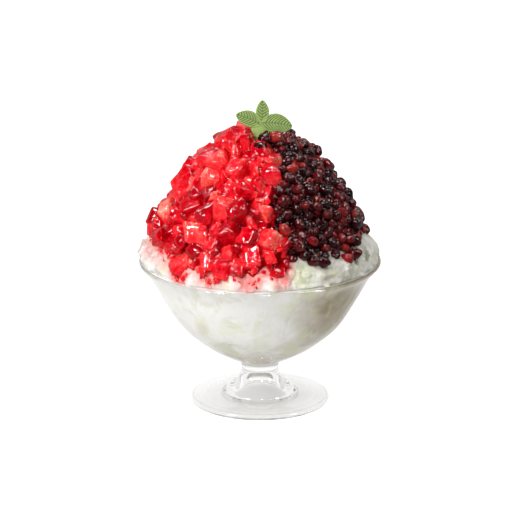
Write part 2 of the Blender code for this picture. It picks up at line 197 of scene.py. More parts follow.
def mound_radius(z):
    """The radius of the smooth mound of ice at a height."""
    return along(MOUND_PATH, 1, z, 0) if z < MOUND_TOP else 0.0


# The mound as a table by height.
MOUND_HEIGHTS, MOUND_RADII = (np.array(row) for row in zip(*[(z, r) for r, z in MOUND_PATH], strict=True))
# Up to this height the toppings keep their layer over the mound, whose skin faces this far outwards,
# where 1 is level.
LAYER_TOP_Z = 150.0
MOUND_LEAN = 0.8


def topping_edge(azimuth):
    """The height at which the toppings end on the ice."""
    drop = max(depth * hat(azimuth, centre, width) for centre, depth, width in TONGUES)
    angle = math.radians(azimuth)
    waver = noise.noise(Vector((math.sin(angle), math.cos(angle), 0.3)) * 4.0)
    return EDGE_Z - drop + waver * EDGE_WAVER


def dome_point(azimuth, rise):
    """A point on the toppings' dome. rise is 0 at its base and 1 at its top."""
    swing = rise * math.pi / 2
    radius = HEAP_RADIUS * math.cos(swing) ** (2 / HEAP_POWER)
    height = HEAP_HEIGHT * math.sin(swing) ** (2 / HEAP_POWER)
    angle = math.radians(azimuth)
    spot = Vector((radius * math.sin(angle) + HEAP_SHIFT_X, -radius * math.cos(angle), HEAP_BASE_Z + height))
    flat = Vector((spot.x, spot.y, 0.0))
    least = min(mound_radius(spot.z) + LAYER, HEAP_MOST_RADIUS)
    if rise < LAYER_TOP_RISE and flat.length < least:
        spot += flat.normalized() * (least - flat.length)
    return spot


def dome_normal(azimuth, rise):
    step = 0.002
    up = dome_point(azimuth, min(rise + step, 1.0)) - dome_point(azimuth, rise - step)
    side = dome_point(azimuth + 0.5, rise) - dome_point(azimuth - 0.5, rise)
    normal = side.cross(up)
    return normal.normalized() if normal.length > 0 else Vector((0.0, 0.0, 1.0))


def slimming(x, z):
    """How much further in than the plain dome the pieces lie here, in mm."""
    left = 5.0 * smoothstep(-20.0, -48.0, x) * math.exp(-(((z - 148.0) / 17.0) ** 2))
    top = (8.5 if x < 0.0 else 5.5) * smoothstep(174.0, 187.0, z) * smoothstep(3.0, 12.0, abs(x + 2.0))
    right = 2.0 * smoothstep(15.0, 50.0, x) * smoothstep(182.0, 172.0, z)
    return left + top + right


def rise_at(height):
    """The dome's rise at a height, the reverse of dome_point."""
    share = clamped((height - HEAP_BASE_Z) / HEAP_HEIGHT)
    return math.asin(share ** (HEAP_POWER / 2)) / (math.pi / 2)


def heap_depth(points):
    """How deep points lie under the toppings' dome, and the way out of it, as arrays."""
    arm = points - np.array([HEAP_SHIFT_X, 0.0, HEAP_BASE_Z])
    flat = np.maximum(np.hypot(arm[:, 0], arm[:, 1]), 1e-6)
    up = np.maximum(arm[:, 2], 1e-6)
    share = ((flat / HEAP_RADIUS) ** HEAP_POWER + (up / HEAP_HEIGHT) ** HEAP_POWER) ** (1 / HEAP_POWER)
    slope = share ** (1 - HEAP_POWER)
    out = slope * (flat / HEAP_RADIUS) ** (HEAP_POWER - 1) / HEAP_RADIUS
    rise = slope * (up / HEAP_HEIGHT) ** (HEAP_POWER - 1) / HEAP_HEIGHT
    steep = np.hypot(out, rise)
    depth = (1 - share) / steep
    way = np.stack([out * arm[:, 0] / flat, out * arm[:, 1] / flat, rise], axis=1) / steep[:, None]
    radius = np.hypot(points[:, 0], points[:, 1])
    least = np.minimum(np.interp(points[:, 2], MOUND_HEIGHTS, MOUND_RADII) + LAYER, HEAP_MOST_RADIUS)
    beside = (least - radius) * MOUND_LEAN
    level = np.stack([points[:, 0] / radius * MOUND_LEAN, points[:, 1] / radius * MOUND_LEAN], axis=1)
    level = np.column_stack([level, np.full(len(points), math.sqrt(1 - MOUND_LEAN**2))])
    low = (points[:, 2] < LAYER_TOP_Z) & (beside > depth)
    return np.where(low, beside, depth), np.where(low[:, None], level, way)


# ---------------------------------------------------------------- meshes


def linked(name, data):
    """A new object in the scene."""
    made = bpy.data.objects.new(name, data)
    bpy.context.scene.collection.objects.link(made)
    return made


def give(piece, attributes):
    """Stores a value or a vector for each point, which the piece's finish reads."""
    for key, values in attributes.items():
        values = np.asarray(values, np.float32)
        kind, slot = ("FLOAT", "value") if values.ndim == 1 else ("FLOAT_VECTOR", "vector")
        piece.data.attributes.new(key, kind, "POINT").data.foreach_set(slot, values.ravel())


def make_piece(name, points, faces, finish, **attributes):
    """A mesh object from points in mm, that rides on the one body."""
    mesh = bpy.data.meshes.new(name)
    mesh.from_pydata((np.asarray(points) * MM).tolist(), [], faces)
    mesh.shade_smooth()
    mesh.materials.append(finish)
    made = linked(name, mesh)
    give(made, attributes)
    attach(made, "root")
    return made


def capped_faces(rings, steps):
    """Faces over rings of points between a first and a last single point."""
    faces = []
    last = 1 + rings * steps
    for k in range(steps):
        after = (k + 1) % steps
        faces.append((0, 1 + k, 1 + after))
        for low in range(1, last - steps, steps):
            high = low + steps
            faces.append((low + k, high + k, high + after, low + after))
        faces.append((last - steps + k, last, last - steps + after))
    return faces


def belt_faces(rings, steps, closed):
    """Quads from each ring of points to the next, and from the last to the first if closed."""
    faces = []
    for ring in range(rings if closed else rings - 1):
        low, high = ring * steps, (ring + 1) % rings * steps
        for k in range(steps):
            after = (k + 1) % steps
            faces.append((low + k, low + after, high + after, high + k))
    return faces


def turned_grid(profile, steps):
    """Points and faces of a profile turned about Z. It starts and ends on the axis."""
    angles = np.linspace(0.0, 2 * math.pi, steps, endpoint=False)
    ring = np.stack([np.sin(angles), -np.cos(angles)], axis=1)
    rings = [np.column_stack([ring * r, np.full(steps, z)]) for r, z in profile[1:-1]]
    ends = [np.array([[0.0, 0.0, profile[end][1]]]) for end in (0, -1)]
    return np.concatenate([ends[0], *rings, ends[1]]), capped_faces(len(rings), steps)


def cube_grid(levels):
    """The welded surface of a cube from -1 to 1, with its faces divided at these levels."""
    n = len(levels)
    u, v = np.meshgrid(levels, levels, indexing="ij")
    index = np.arange(n * n).reshape(n, n)
    quads = np.stack([index[:-1, :-1], index[1:, :-1], index[1:, 1:], index[:-1, 1:]], axis=-1).reshape(-1, 4)
    points, faces = [], []
    for axis in range(3):
        for sign in (-1.0, 1.0):
            side = np.empty((n, n, 3))
            side[..., axis], side[..., (axis + 1) % 3], side[..., (axis + 2) % 3] = sign, u, v
            faces.append((quads if sign > 0 else quads[:, ::-1]) + len(points) * n * n)
            points.append(side.reshape(-1, 3))
    points = np.concatenate(points)
    _, first, back = np.unique(np.round(points, 6), axis=0, return_index=True, return_inverse=True)
    return points[first], back.reshape(-1)[np.concatenate(faces)]


def joined(parts):
    """Points and faces of many shapes as one."""
    points, faces, count = [], [], 0
    for own_points, own_faces in parts:
        faces += [tuple(int(i) + count for i in face) for face in own_faces]
        points.append(own_points)
        count += len(own_points)
    return np.concatenate(points), faces


def trimmed(faces):
    """The faces, with those that say their first point twice made triangles."""
    return [face[:3] if face[0] == face[3] else face for face in faces]


class Heap:
    """Many small pieces of one kind, for one mesh."""

    def __init__(self):
        self.parts, self.tones, self.fruits = [], [], []

    def add(self, points, faces, tone, own):
        """One piece, with its tone and its own coordinates in mm, which its finish reads."""
        self.parts.append((points, faces))
        self.tones.append(np.broadcast_to(tone, len(points)))
        self.fruits.append(own * MM)

    def make(self, name, finish):
        """The mesh object, its points and its faces."""
        points, faces = joined(self.parts)
        tones, fruits = np.concatenate(self.tones), np.concatenate(self.fruits)
        return make_piece(name, points, faces, finish, tone=tones, fruit=fruits), points, faces


# ---------------------------------------------------------------- shader nodes


class Nodes:
    """Adds nodes to one node tree."""

    def __init__(self, tree):
        self.tree = tree

    def set(self, target, inputs):
        for key, value in inputs.items():
            socket = target.inputs[key.replace("_", " ") if isinstance(key, str) else key]
            if isinstance(value, bpy.types.NodeSocket):
                self.tree.links.new(value, socket)
            else:
                socket.default_value = value

    def add(self, kind, inputs, output=0, **settings):
        made = self.tree.nodes.new("ShaderNode" + kind)
        for key, value in settings.items():
            setattr(made, key, value)
        self.set(made, inputs)
        return made.outputs[output]

    def math(self, operation, *values, clamp=False):
        return self.add("Math", dict(enumerate(values)), operation=operation, use_clamp=clamp)

    def plus(self, a, b, clamp=False):
        return self.math("ADD", a, b, clamp=clamp)

    def times(self, a, b, clamp=False):
        return self.math("MULTIPLY", a, b, clamp=clamp)

    def axis(self, vector, name):
        return self.add("SeparateXYZ", {"Vector": vector}, name)

    def rays(self):
        return self.tree.nodes.new("ShaderNodeLightPath").outputs

    def by_ray(self, seen, through, matt, coated, glassy):
        """How bright this is to the camera, through glass, to matt surfaces, in coats and in glass."""
        rays = self.rays()
        reflected = self.math("SUBTRACT", rays["Is Glossy Ray"], rays["Is Transmission Ray"])
        reflected = self.math("MAXIMUM", reflected, 0.0)
        share = self.math("SUBTRACT", glassy, coated)
        share = self.math("MULTIPLY_ADD", rays["Is Singular Ray"], share, coated)
        total = self.times(rays["Is Camera Ray"], seen)
        total = self.math("MULTIPLY_ADD", rays["Is Transmission Ray"], through, total)
        total = self.math("MULTIPLY_ADD", rays["Is Diffuse Ray"], matt, total)
        return self.math("MULTIPLY_ADD", reflected, share, total)


class Finish(Nodes):
    """A node material with one Principled shader."""

    def __init__(self, name, **inputs):
        self.material = bpy.data.materials.new(name)
        self.material.use_nodes = True
        super().__init__(self.material.node_tree)
        self.shader = self.tree.nodes["Principled BSDF"]
        self.use(**inputs)

    def use(self, **inputs):
        self.set(self.shader, inputs)

    def place(self):
        """Object coordinates, in metres."""
        return self.add("TexCoord", {}, "Object")

    def value(self, name, output="Fac"):
        return self.add("Attribute", {}, output, attribute_name=name)

    def stretched(self, vector, factors):
        return self.add("Mapping", {"Vector": vector, "Scale": factors})

    def noise(self, vector, size, detail=3.0, roughness=0.55, distortion=0.0):
        """Noise with features of this size in mm, from 0 to 1."""
        inputs = {"Vector": vector, "Scale": 1000.0 / size, "Detail": detail, "Roughness": roughness}
        return self.add("TexNoise", {**inputs, "Distortion": distortion})

    def span(self, value, low, high, to_low=0.0, to_high=1.0):
        inputs = {"Value": value, "From Min": low, "From Max": high, "To Min": to_low, "To Max": to_high}
        return self.add("MapRange", inputs)

    def mix(self, share, a, b):
        return self.add("Mix", {0: share, 6: a, 7: b}, 2, data_type="RGBA")

    def ramp(self, value, stops):
        made = self.tree.nodes.new("ShaderNodeValToRGB")
        elements = made.color_ramp.elements
        while len(elements) < len(stops):
            elements.new(0.5)
        for element, (position, colour) in zip(elements, stops, strict=True):
            element.position = position
            element.color = (*colour, 1.0)
        self.tree.links.new(value, made.inputs[0])
        return made.outputs[0]

    def bump(self, height, depth, strength=1.0):
        """A normal from a height between 0 and 1, that stands for this depth in mm."""
        return self.add("Bump", {"Height": height, "Distance": depth * MM, "Strength": strength})

    def wrinkles(self, size, depth=0.45):
        """The normal of a glossy film with thin winding ridges, this far apart in mm."""
        film = self.noise(self.place(), size, 1.0, 0.4, 0.8)
        ridge = self.math("ABSOLUTE", self.math("SUBTRACT", film, 0.5))
        return self.bump(self.span(ridge, 0.0, 0.07, 1.0, 0.0), depth)

    def facets(self, vector, size, slope):
        """The height in mm of flat facets of this size, each slanting its own way."""
        cells = {"Vector": vector, "Scale": 1000.0 / size}
        centre, colour = (self.add("TexVoronoi", cells, output) for output in ("Position", "Color"))
        away = self.add("VectorMath", {0: vector, 1: centre}, operation="SUBTRACT")
        tilt = self.add("VectorMath", {0: colour, 1: (0.5, 0.5, 0.5)}, operation="SUBTRACT")
        height = self.add("VectorMath", {0: away, 1: tilt}, "Value", operation="DOT_PRODUCT")
        return self.times(height, 2000.0 * slope)


def wet_finish(name, roughness, radius, scale, coat):
    """A finish whose gloss is all in its coat, which has a weight, a roughness and an IOR."""
    finish = Finish(name, Roughness=roughness, Specular_IOR_Level=0.0)
    finish.use(Subsurface_Weight=0.1, Subsurface_Radius=radius, Subsurface_Scale=scale)
    finish.use(Coat_Weight=coat[0], Coat_Roughness=coat[1], Coat_IOR=coat[2])
    return finish


# ---------------------------------------------------------------- the glass bowl


def wall_outside(per_span):
    return smooth_path(WALL_STATIONS, per_span)


def inner_path(per_span):
    """The inside of the bowl from the lip to the axis."""
    wall = offset(wall_outside(per_span), -WALL)
    return wall[:-1] + smooth_path([wall[-1], *INNER_BOTTOM_STATIONS], per_span)


def glass_finish():
    tint = (0.99, 0.985, 0.98, 1.0)
    finish = Finish("clear glass", IOR=1.5, Transmission_Weight=1.0, Roughness=0.0, Base_Color=tint)
    waves = finish.noise(finish.stretched(finish.place(), (1.0, 1.0, 0.5)), 24.0, 1.0)
    finish.use(Normal=finish.bump(waves, 0.25, 0.5))
    rays = finish.rays()
    passes = finish.math("MAXIMUM", rays["Is Shadow Ray"], rays["Is Diffuse Ray"])
    clear = finish.add("BsdfTransparent", {"Color": (1.0, 0.995, 0.985, 1.0)})
    surface = finish.add("MixShader", {0: passes, 1: finish.shader.outputs[0], 2: clear})
    finish.set(finish.tree.nodes["Material Output"], {"Surface": surface})
    return finish.material


def make_glass():
    outside = wall_outside(8)
    inside = inner_path(8)
    lip_way = (Vector(outside[0]) - Vector(outside[1])).normalized()
    stem = smooth_path([WALL_STATIONS[-1], *STEM_STATIONS, FOOT_EDGE_TOP], 8)
    profile = [
        *inside[::-1],
        *half_circle(inside[0], outside[0], lip_way, 12),
        *outside[:-1],
        *stem,
        *half_circle(FOOT_EDGE_TOP, UNDERSIDE_STATIONS[0], Vector((1.0, 0.0)), 10),
        *smooth_path(UNDERSIDE_STATIONS, 4),
    ]
    points, faces = turned_grid(profile, GLASS_TURN)
    glass = make_piece("clear_glass_bowl", points, faces, glass_finish())
    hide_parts("glass_bowl")


# ---------------------------------------------------------------- the ice

# The mound's outer layer: its points, and the voxels that fuse it with its flakes.
BAND_TURN = 480
BAND_ROWS = 34
BAND_TOP = 134.0
BAND_THICKNESS = 6.0
BAND_VOXEL = 0.85
BAND_SMOOTHING = 3
# How far the core lies back behind that layer, and further back under the toppings.
CORE_BACK = 2.5
TOPPING_BACK = 3.5
# A flake's rings of points: their shares of its reach and of its thickness.
FLAKE_RINGS = [(0.45, 1.0), (0.78, 0.95), (0.95, 0.66), (1.0, 0.0)]
FLAKE_SIDES = 14
FLAKE_COUNT = 330
FLAKE_SEED = 23
# Above the first height ice can be stained by strawberries, and above the second it is browned under the
# beans.
STAIN_FROM, BROWNING_FROM = 100.5, 102.0
SNOW = (0.93, 0.92, 0.88, 1.0)
# Painted shade: the ice in the bowl darkens towards the first colour below, and over the lip towards the
# second, most on the right side, away from the key light, and towards the bottom.
SHADED_BOWL_ICE = (0.27, 0.185, 0.035, 1.0)
SHADED_BAND_ICE = (0.36, 0.35, 0.23, 1.0)
GREEN_ICE = (0.70, 0.73, 0.47, 1.0)
PINK_ICE = (0.95, 0.28, 0.26, 1.0)
BROWN_ICE = (0.26, 0.19, 0.10, 1.0)
CHIP_SIZE = 6.5


def stain(x, y, z):
    """How much strawberry syrup has soaked into the ice here, from 0 to 1."""
    azimuth = azimuth_of(x, y)
    berry_side = smoothstep(4.0, -4.0, x - seam_x(y))
    below = topping_edge(azimuth) - z
    ragged = 3.0 * wavy(x, y, z, 9.0, 3.1) + 2.0 * wavy(x, y, z, 4.0, 1.4)
    reach = 5.8 + 4.5 * hat(azimuth, -88.0, 30.0) + 2.0 * hat(azimuth, -15.0, 40.0) + ragged
    return berry_side * math.exp(-((max(below + 0.5, 0.0) / max(reach, 1.2)) ** 1.5))


def browning_under_beans(x, y, z):
    """How brown the ice is made just under the edge of the beans, from 0 to 1."""
    below = topping_edge(azimuth_of(x, y)) - z
    reach = 3.0 + 2.0 * wavy(x, y, z, 7.0, 5.1)
    return smoothstep(0.0, 6.0, x - seam_x(y)) * math.exp(-max(below + 1.0, 0.0) / max(reach, 1.0))


def shade_and_melt(x, y, z):
    """How much the ice is darkened and made glossier here, from 0 to 1: painted shade on the right side, away
    from the key light, more towards the bottom, a little over the lip, and some at random.
    """
    # Painted shade on the right side, away from the key light.
    right = smoothstep(8.0, 54.0, x) * (0.5 + 0.5 * smoothstep(103.0, 92.0, z))
    right *= 1.0 - 0.5 * smoothstep(52.0, 70.0, x) * smoothstep(97.0, 103.0, z)
    low = smoothstep(62.0, 34.0, z) * 0.55 * smoothstep(12.0, 17.0, math.hypot(x, y))
    bare = 0.16 * smoothstep(100.0, 103.0, z)
    return clamped(max(right, low, bare) + 0.2 * wavy(x, y, z, 16.0, 1.7))


def ice_finish():
    depth = {"Subsurface_Weight": 0.75, "Subsurface_Radius": (1.0, 1.0, 0.9), "Subsurface_Scale": 0.006}
    coat = {"Coat_Weight": 0.15, "Coat_Roughness": 0.3, "Coat_IOR": 1.31}
    finish = Finish("shaved ice", **depth, **coat, IOR=1.31)
    # The amount of painted shade, which also makes the ice glossier.
    place, shade_melt = finish.place(), finish.value("shade_melt")
    over_lip = finish.span(finish.axis(place, "Z"), 0.100, 0.104)
    slanted = {"Vector": place, "Scale": (1.0, 1.0, 0.6), "Rotation": (0.0, -0.5, 0.0)}
    slanted = finish.add("Mapping", slanted)
    streak = finish.noise(slanted, 6.0, 3.0, 0.6, 1.2)
    tints = finish.noise(slanted, 11.0, 2.0, 0.5, 0.4)
    shaken = finish.add("TexNoise", {"Vector": place, "Scale": 150.0, "Detail": 2.0}, "Color")
    shaken = finish.mix(0.006, slanted, shaken)

    chips = finish.add("TexVoronoi", {"Vector": shaken, "Scale": 1000.0 / CHIP_SIZE}, "Color")
    chips = finish.span(finish.axis(chips, "X"), 0.0, 1.0, -0.14, 0.14)
    chips = finish.times(chips, finish.span(over_lip, 0.0, 1.0, 0.4, 1.0))
    mottle = finish.span(finish.noise(slanted, 14.0, 4.0, 0.6, 0.8), 0.2, 0.8, -0.36, 0.26)
    mottle = finish.times(mottle, finish.span(shade_melt, 0.3, 1.0, 1.0, 0.6))
    # Painted shade: where the painted shade is strong, the ice darkens towards the shaded colours.
    darkening = finish.plus(shade_melt, finish.plus(mottle, chips), clamp=True)
    colour = finish.mix(over_lip, SHADED_BOWL_ICE, SHADED_BAND_ICE)
    colour = finish.mix(finish.times(darkening, 0.95), SNOW, colour)
    tinge = finish.times(finish.span(tints, 0.52, 0.66), finish.span(shade_melt, 0.0, 0.3, 0.3, 0.75))
    colour = finish.mix(finish.times(tinge, finish.span(shade_melt, 0.3, 0.9, 1.0, 0.45)), colour, GREEN_ICE)
    for name, low, high, tint in (("syrup", 0.5, 1.3, PINK_ICE), ("brown", 0.15, 0.9, BROWN_ICE)):
        tint_share = finish.times(finish.value(name), finish.span(streak, 0.3, 0.6, low, high), clamp=True)
        colour = finish.mix(tint_share, colour, tint)

    slants = finish.plus(finish.facets(shaken, CHIP_SIZE, 0.35), finish.facets(shaken, 3.0, 0.25))
    height = finish.plus(finish.times(finish.noise(place, 1.6, 3.0, 0.6), 0.25), slants)
    height = finish.times(height, finish.span(over_lip, 0.0, 1.0, 0.25, 1.0))
    finish.use(Base_Color=colour, Normal=finish.bump(height, 1.0, 0.8))
    finish.use(Roughness=finish.span(darkening, 0.0, 1.0, 0.6, 0.35))
    return finish.material


def facet(x, y, z, size, slope, seed):
    """Flat slanting facets of this size, each with a step to the next."""
    spot = Vector((x, y, 1.5 * z)) / size + Vector((seed, 0.0, 0.0))
    _, centres = noise.voronoi(spot)
    tilt = noise.cell_vector(centres[0] * 7.0) * 2.0 - Vector((1.0, 1.0, 1.0))
    return ((spot - centres[0]).dot(tilt) + 0.5 * tilt.x) * slope * size


def mound_relief(x, y, z):
    """How far the ice stands out of its smooth mound."""
    azimuth = azimuth_of(x, y)
    over_lip = smoothstep(101.5, 105.0, z)
    lumps = wavy(x, y, z, 15.0, 5.3) * 1.4
    facets = facet(x, y, z, 9.0, 0.14, 3.0)
    bulge = 3.0 * hat(azimuth, -88.0, 24.0) * smoothstep(101.0, 105.5, z) * smoothstep(114.0, 108.0, z)
    return over_lip * (lumps + facets) + bulge


def sunk(azimuth, z):
    """How far the ice lies back under the toppings, to give their pieces room."""
    return TOPPING_BACK * smoothstep(0.0, 5.0, z - topping_edge(azimuth) - 1.0)


def ice_attributes(points):
    """How much painted shade, strawberry stain and browning under the beans the ice has at each point."""
    shade_melt = [shade_and_melt(x, y, z) for x, y, z in points]
    syrup = [stain(x, y, z) if z > STAIN_FROM else 0.0 for x, y, z in points]
    brown = [browning_under_beans(x, y, z) if z > BROWNING_FROM else 0.0 for x, y, z in points]
    return {"shade_melt": shade_melt, "syrup": syrup, "brown": brown}


def make_ice_core(finish):
    """The ice inside the glass and deep in the mound."""
    in_bowl = offset(inner_path(7), INTO_GLASS)
    in_bowl[-1] = (0.0, in_bowl[-1][1])
    points, faces = turned_grid(smooth_path(MOUND_STATIONS, 8)[::-1] + in_bowl, ICE_TURN)
    for i, (x, y, z) in enumerate(points.tolist()):
        radius = math.hypot(x, y)
        if z > STAIN_FROM and radius > 1.0:
            move = -CORE_BACK * smoothstep(STAIN_FROM, 103.0, z) - sunk(azimuth_of(x, y), z)
            points[i, :2] *= (radius + move) / radius
    core = make_piece("ice_core", points, faces, finish, **ice_attributes(points.tolist()))
    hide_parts("shaved_ice")


def band_shape():
    """The outer layer of the mound, from the lip to under the toppings, as a closed ring."""
    heights = [RIM_TOP, *np.linspace(MOUND_FOOT, BAND_TOP, BAND_ROWS)]
    rows = []
    for z in heights:
        for k in range(BAND_TURN):
            azimuth = 360.0 * k / BAND_TURN
            way = out_at(azimuth)
            radius = mound_radius(max(z, MOUND_FOOT)) - (1.2 if z < MOUND_FOOT else 0.0)
            radius += mound_relief(way[0] * radius, way[1] * radius, z) - sunk(azimuth, z)
            rows.append((way[0] * radius, way[1] * radius, z))
    for z in heights[::-4]:
        radius = mound_radius(max(z, MOUND_FOOT)) - BAND_THICKNESS
        angles = [math.tau * k / BAND_TURN for k in range(BAND_TURN)]
        rows += [(math.sin(a) * radius, -math.cos(a) * radius, z) for a in angles]
    return np.array(rows), belt_faces(len(rows) // BAND_TURN, BAND_TURN, True)


def flake(rng):
    """A thin bent chip of ice with a few straight sides and rounded edges."""
    corners = rng.randint(4, 6)
    turn = rng.uniform(0.0, math.tau)
    sides = []
    for i in range(corners):
        way = turn + math.tau * (i + rng.uniform(-0.25, 0.25)) / corners
        sides.append((way, rng.uniform(0.72, 1.0)))
    angles = [math.tau * i / FLAKE_SIDES for i in range(FLAKE_SIDES)]
    reach = []
    for angle in angles:
        ways = [d / math.cos(angle - a) for a, d in sides if math.cos(angle - a) > 0.2]
        reach.append(min(1.3, *ways))
    length, width, thick = rng.uniform(4.5, 9.0), rng.uniform(2.4, 4.8), rng.uniform(0.45, 0.8)
    bend, twist = rng.uniform(-0.014, 0.004), rng.uniform(-0.008, 0.008)
    points = [(0.0, 0.0, thick), (0.0, 0.0, -thick)]
    for side in (1, -1):
        for share, height in FLAKE_RINGS if side == 1 else FLAKE_RINGS[:-1]:
            for angle, r in zip(angles, reach, strict=True):
                x, y = math.cos(angle) * r * share * length, math.sin(angle) * r * share * width
                points.append((x, y, side * height * thick))
    points = np.array(points)
    points[:, 2] += bend * points[:, 0] ** 2 + twist * points[:, 0] * points[:, 1]
    return points


def flake_faces():
    """The faces of every flake. A triangle says its first point twice."""
    n = FLAKE_SIDES
    top = [2 + k * n for k in range(4)]
    bottom = [2 + (4 + k) * n for k in range(3)] + [top[3]]
    faces = []
    for a in range(n):
        b = (a + 1) % n
        faces.append((0, top[0] + a, top[0] + b, 0))
        faces.append((1, bottom[0] + b, bottom[0] + a, 1))
        for rows, turn in ((top, 1), (bottom, -1)):
            for low, high in zip(rows, rows[1:], strict=False):
                faces.append((low + a, high + a, high + b, low + b)[::turn])
    return faces


def flakes():
    """Chips of ice that overlap over the band of ice between the lip and the toppings."""
    rng = random.Random(FLAKE_SEED)
    template = flake_faces()
    parts = []
    while len(parts) < FLAKE_COUNT:
        azimuth = rng.uniform(-180.0, 180.0)
        z = rng.uniform(102.5, 124.0)
        if z > topping_edge(azimuth) + 3.0:
            continue
        way = Vector((*out_at(azimuth), 0.0))
        radius = mound_radius(z)
        spot = way * radius + Vector((0.0, 0.0, z))
        radius += mound_relief(*spot) + rng.uniform(-0.9, 0.3)
        slope = (mound_radius(z - 1.0) - mound_radius(z + 1.0)) / 2
        normal = Vector((way.x, way.y, slope)).normalized()
        spot = way * radius + Vector((0.0, 0.0, z))
        lie = normal.to_track_quat("Z", "Y").to_matrix()
        tilt = Euler((rng.gauss(0.0, 0.15), rng.gauss(0.0, 0.12), rng.gauss(0.0, 0.9))).to_matrix()
        parts.append((flake(rng) * rng.uniform(0.7, 1.1) @ np.array(lie @ tilt).T + np.array(spot), template))
    points, faces = joined(parts)
    return inside_rim(points, 0.0), trimmed(faces)


def inside_rim(points, radii):
    """The points moved up and in where they would reach over or into the bowl's rim."""
    points = points.copy()
    points[:, 2] = np.maximum(points[:, 2], RIM_TOP + ABOVE_RIM + radii)
    far = np.hypot(points[:, 0], points[:, 1])
    points[:, :2] *= np.minimum(1.0, (RIM_RADIUS - INSIDE_RIM - radii) / np.maximum(far, 1.0))[:, None]
    return points


def fused(piece, voxel, smoothing):
    """Makes one closed skin of a piece's crossing shapes, softens it, and returns its points in mm."""
    fuse = piece.modifiers.new("Fuse", "REMESH")
    fuse.mode = "VOXEL"
    fuse.voxel_size = voxel * MM
    fuse.use_smooth_shade = True
    soften = piece.modifiers.new("Soften", "SMOOTH")
    soften.factor = 0.5
    soften.iterations = smoothing
    graph = bpy.context.evaluated_depsgraph_get()
    mesh = bpy.data.meshes.new_from_object(piece.evaluated_get(graph))
    piece.modifiers.clear()
    piece.data = mesh
    points = np.empty(len(mesh.vertices) * 3, np.float32)
    mesh.vertices.foreach_get("co", points)
    return points.reshape(-1, 3) / MM


def make_ice_band(finish):
    """The ice that shows over the lip: chips of ice half sunk in a packed layer."""
    band = make_piece("ice_flakes", *joined([band_shape(), flakes()]), finish)
    points = fused(band, BAND_VOXEL, BAND_SMOOTHING)
    give(band, ice_attributes(points.tolist()))
    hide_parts("shaved_ice")


# ---------------------------------------------------------------- how the pieces of topping lie

DICE_SIZES = (8.5, 17.5)
DICE_COUNT = (170, 105)
BITS_COUNT = 100
BITS_SIZES = (3.5, 7.0)
BEAN_COUNT = (310, 250)
# Pieces around the foot of the leaf, and beans that have slid down onto the ice: where each lies, its
# size, and its side (-1 for a die, 1 for a bean).
PLACED = [
    ((-14.5, -9.0, 190.0), 13.5, -1),
    ((-8.5, -20.5, 189.0), 10.0, -1),
    ((3.0, -20.5, 191.5), 1.1, 1),
    ((10.5, -18.5, 192.0), 1.15, 1),
    ((-0.5, -24.5, 186.0), 1.2, 1),
    ((35.5, -64.5, 118.5), 1.1, 1),
    ((41.9, -62.0, 117.2), 1.15, 1),
    ((58.0, -48.5, 115.6), 1.15, 1),
    ((64.0, -41.5, 117.0), 1.05, 1),
]
PLACED_WAY = Vector((1.0, -0.3, 0.2))
LYING_SEED = 21
# How deep the pieces of the outer and of the inner layer lie, in their own widths.
DICE_DEPTHS = ((0.25, 0.72), (1.2, 1.5))
BEAN_DEPTHS = ((0.05, 0.85), (1.15, 1.7))
# The size and height of the lumps that dice and beans lie in.
CLUMPS = ((14.0, 3.4), (11.0, 4.6))
# The most area that random_spot weighs a spot against.
MOST_AREA = 260.0
# Pieces nearer than the reach can push each other. Each round takes up these shares of a crossing and
# of what is missing to the right depth, and keeps these shares of a radius from edge, seam and rim.
SETTLE_ROUNDS = 60
SETTLE_REACH = 22.0
PUSH, PULL = 0.3, 0.35
OVER_EDGE, OFF_SEAM, OFF_RIM, OFF_RIM_LAST = 0.55, 0.75, 1.15, 1.45


def dice_size(rng):
    return DICE_SIZES[0] + (DICE_SIZES[1] - DICE_SIZES[0]) * rng.random() ** 1.5


def random_spot(side, rng):
    """A point on one side's part of the dome, evenly by area, and the way out of the dome there."""
    while True:
        azimuth, rise = rng.uniform(-180.0, 180.0), rng.uniform(0.0, 1.0)
        spot = dome_point(azimuth, rise)
        ring = math.hypot(spot.x - HEAP_SHIFT_X, spot.y)
        below, above = dome_point(azimuth, max(rise - 0.01, 0.0)), dome_point(azimuth, min(rise + 0.01, 1.0))
        if rng.random() > ring * (above - below).length / MOST_AREA:
            continue
        if (spot.x - seam_x(spot.y)) * side > 1.0 and spot.z > topping_edge(azimuth) + 2.0:
            return spot, dome_normal(azimuth, rise)


def random_way(rng):
    return Vector([rng.gauss(0.0, 1.0) for _ in range(3)]).normalized()


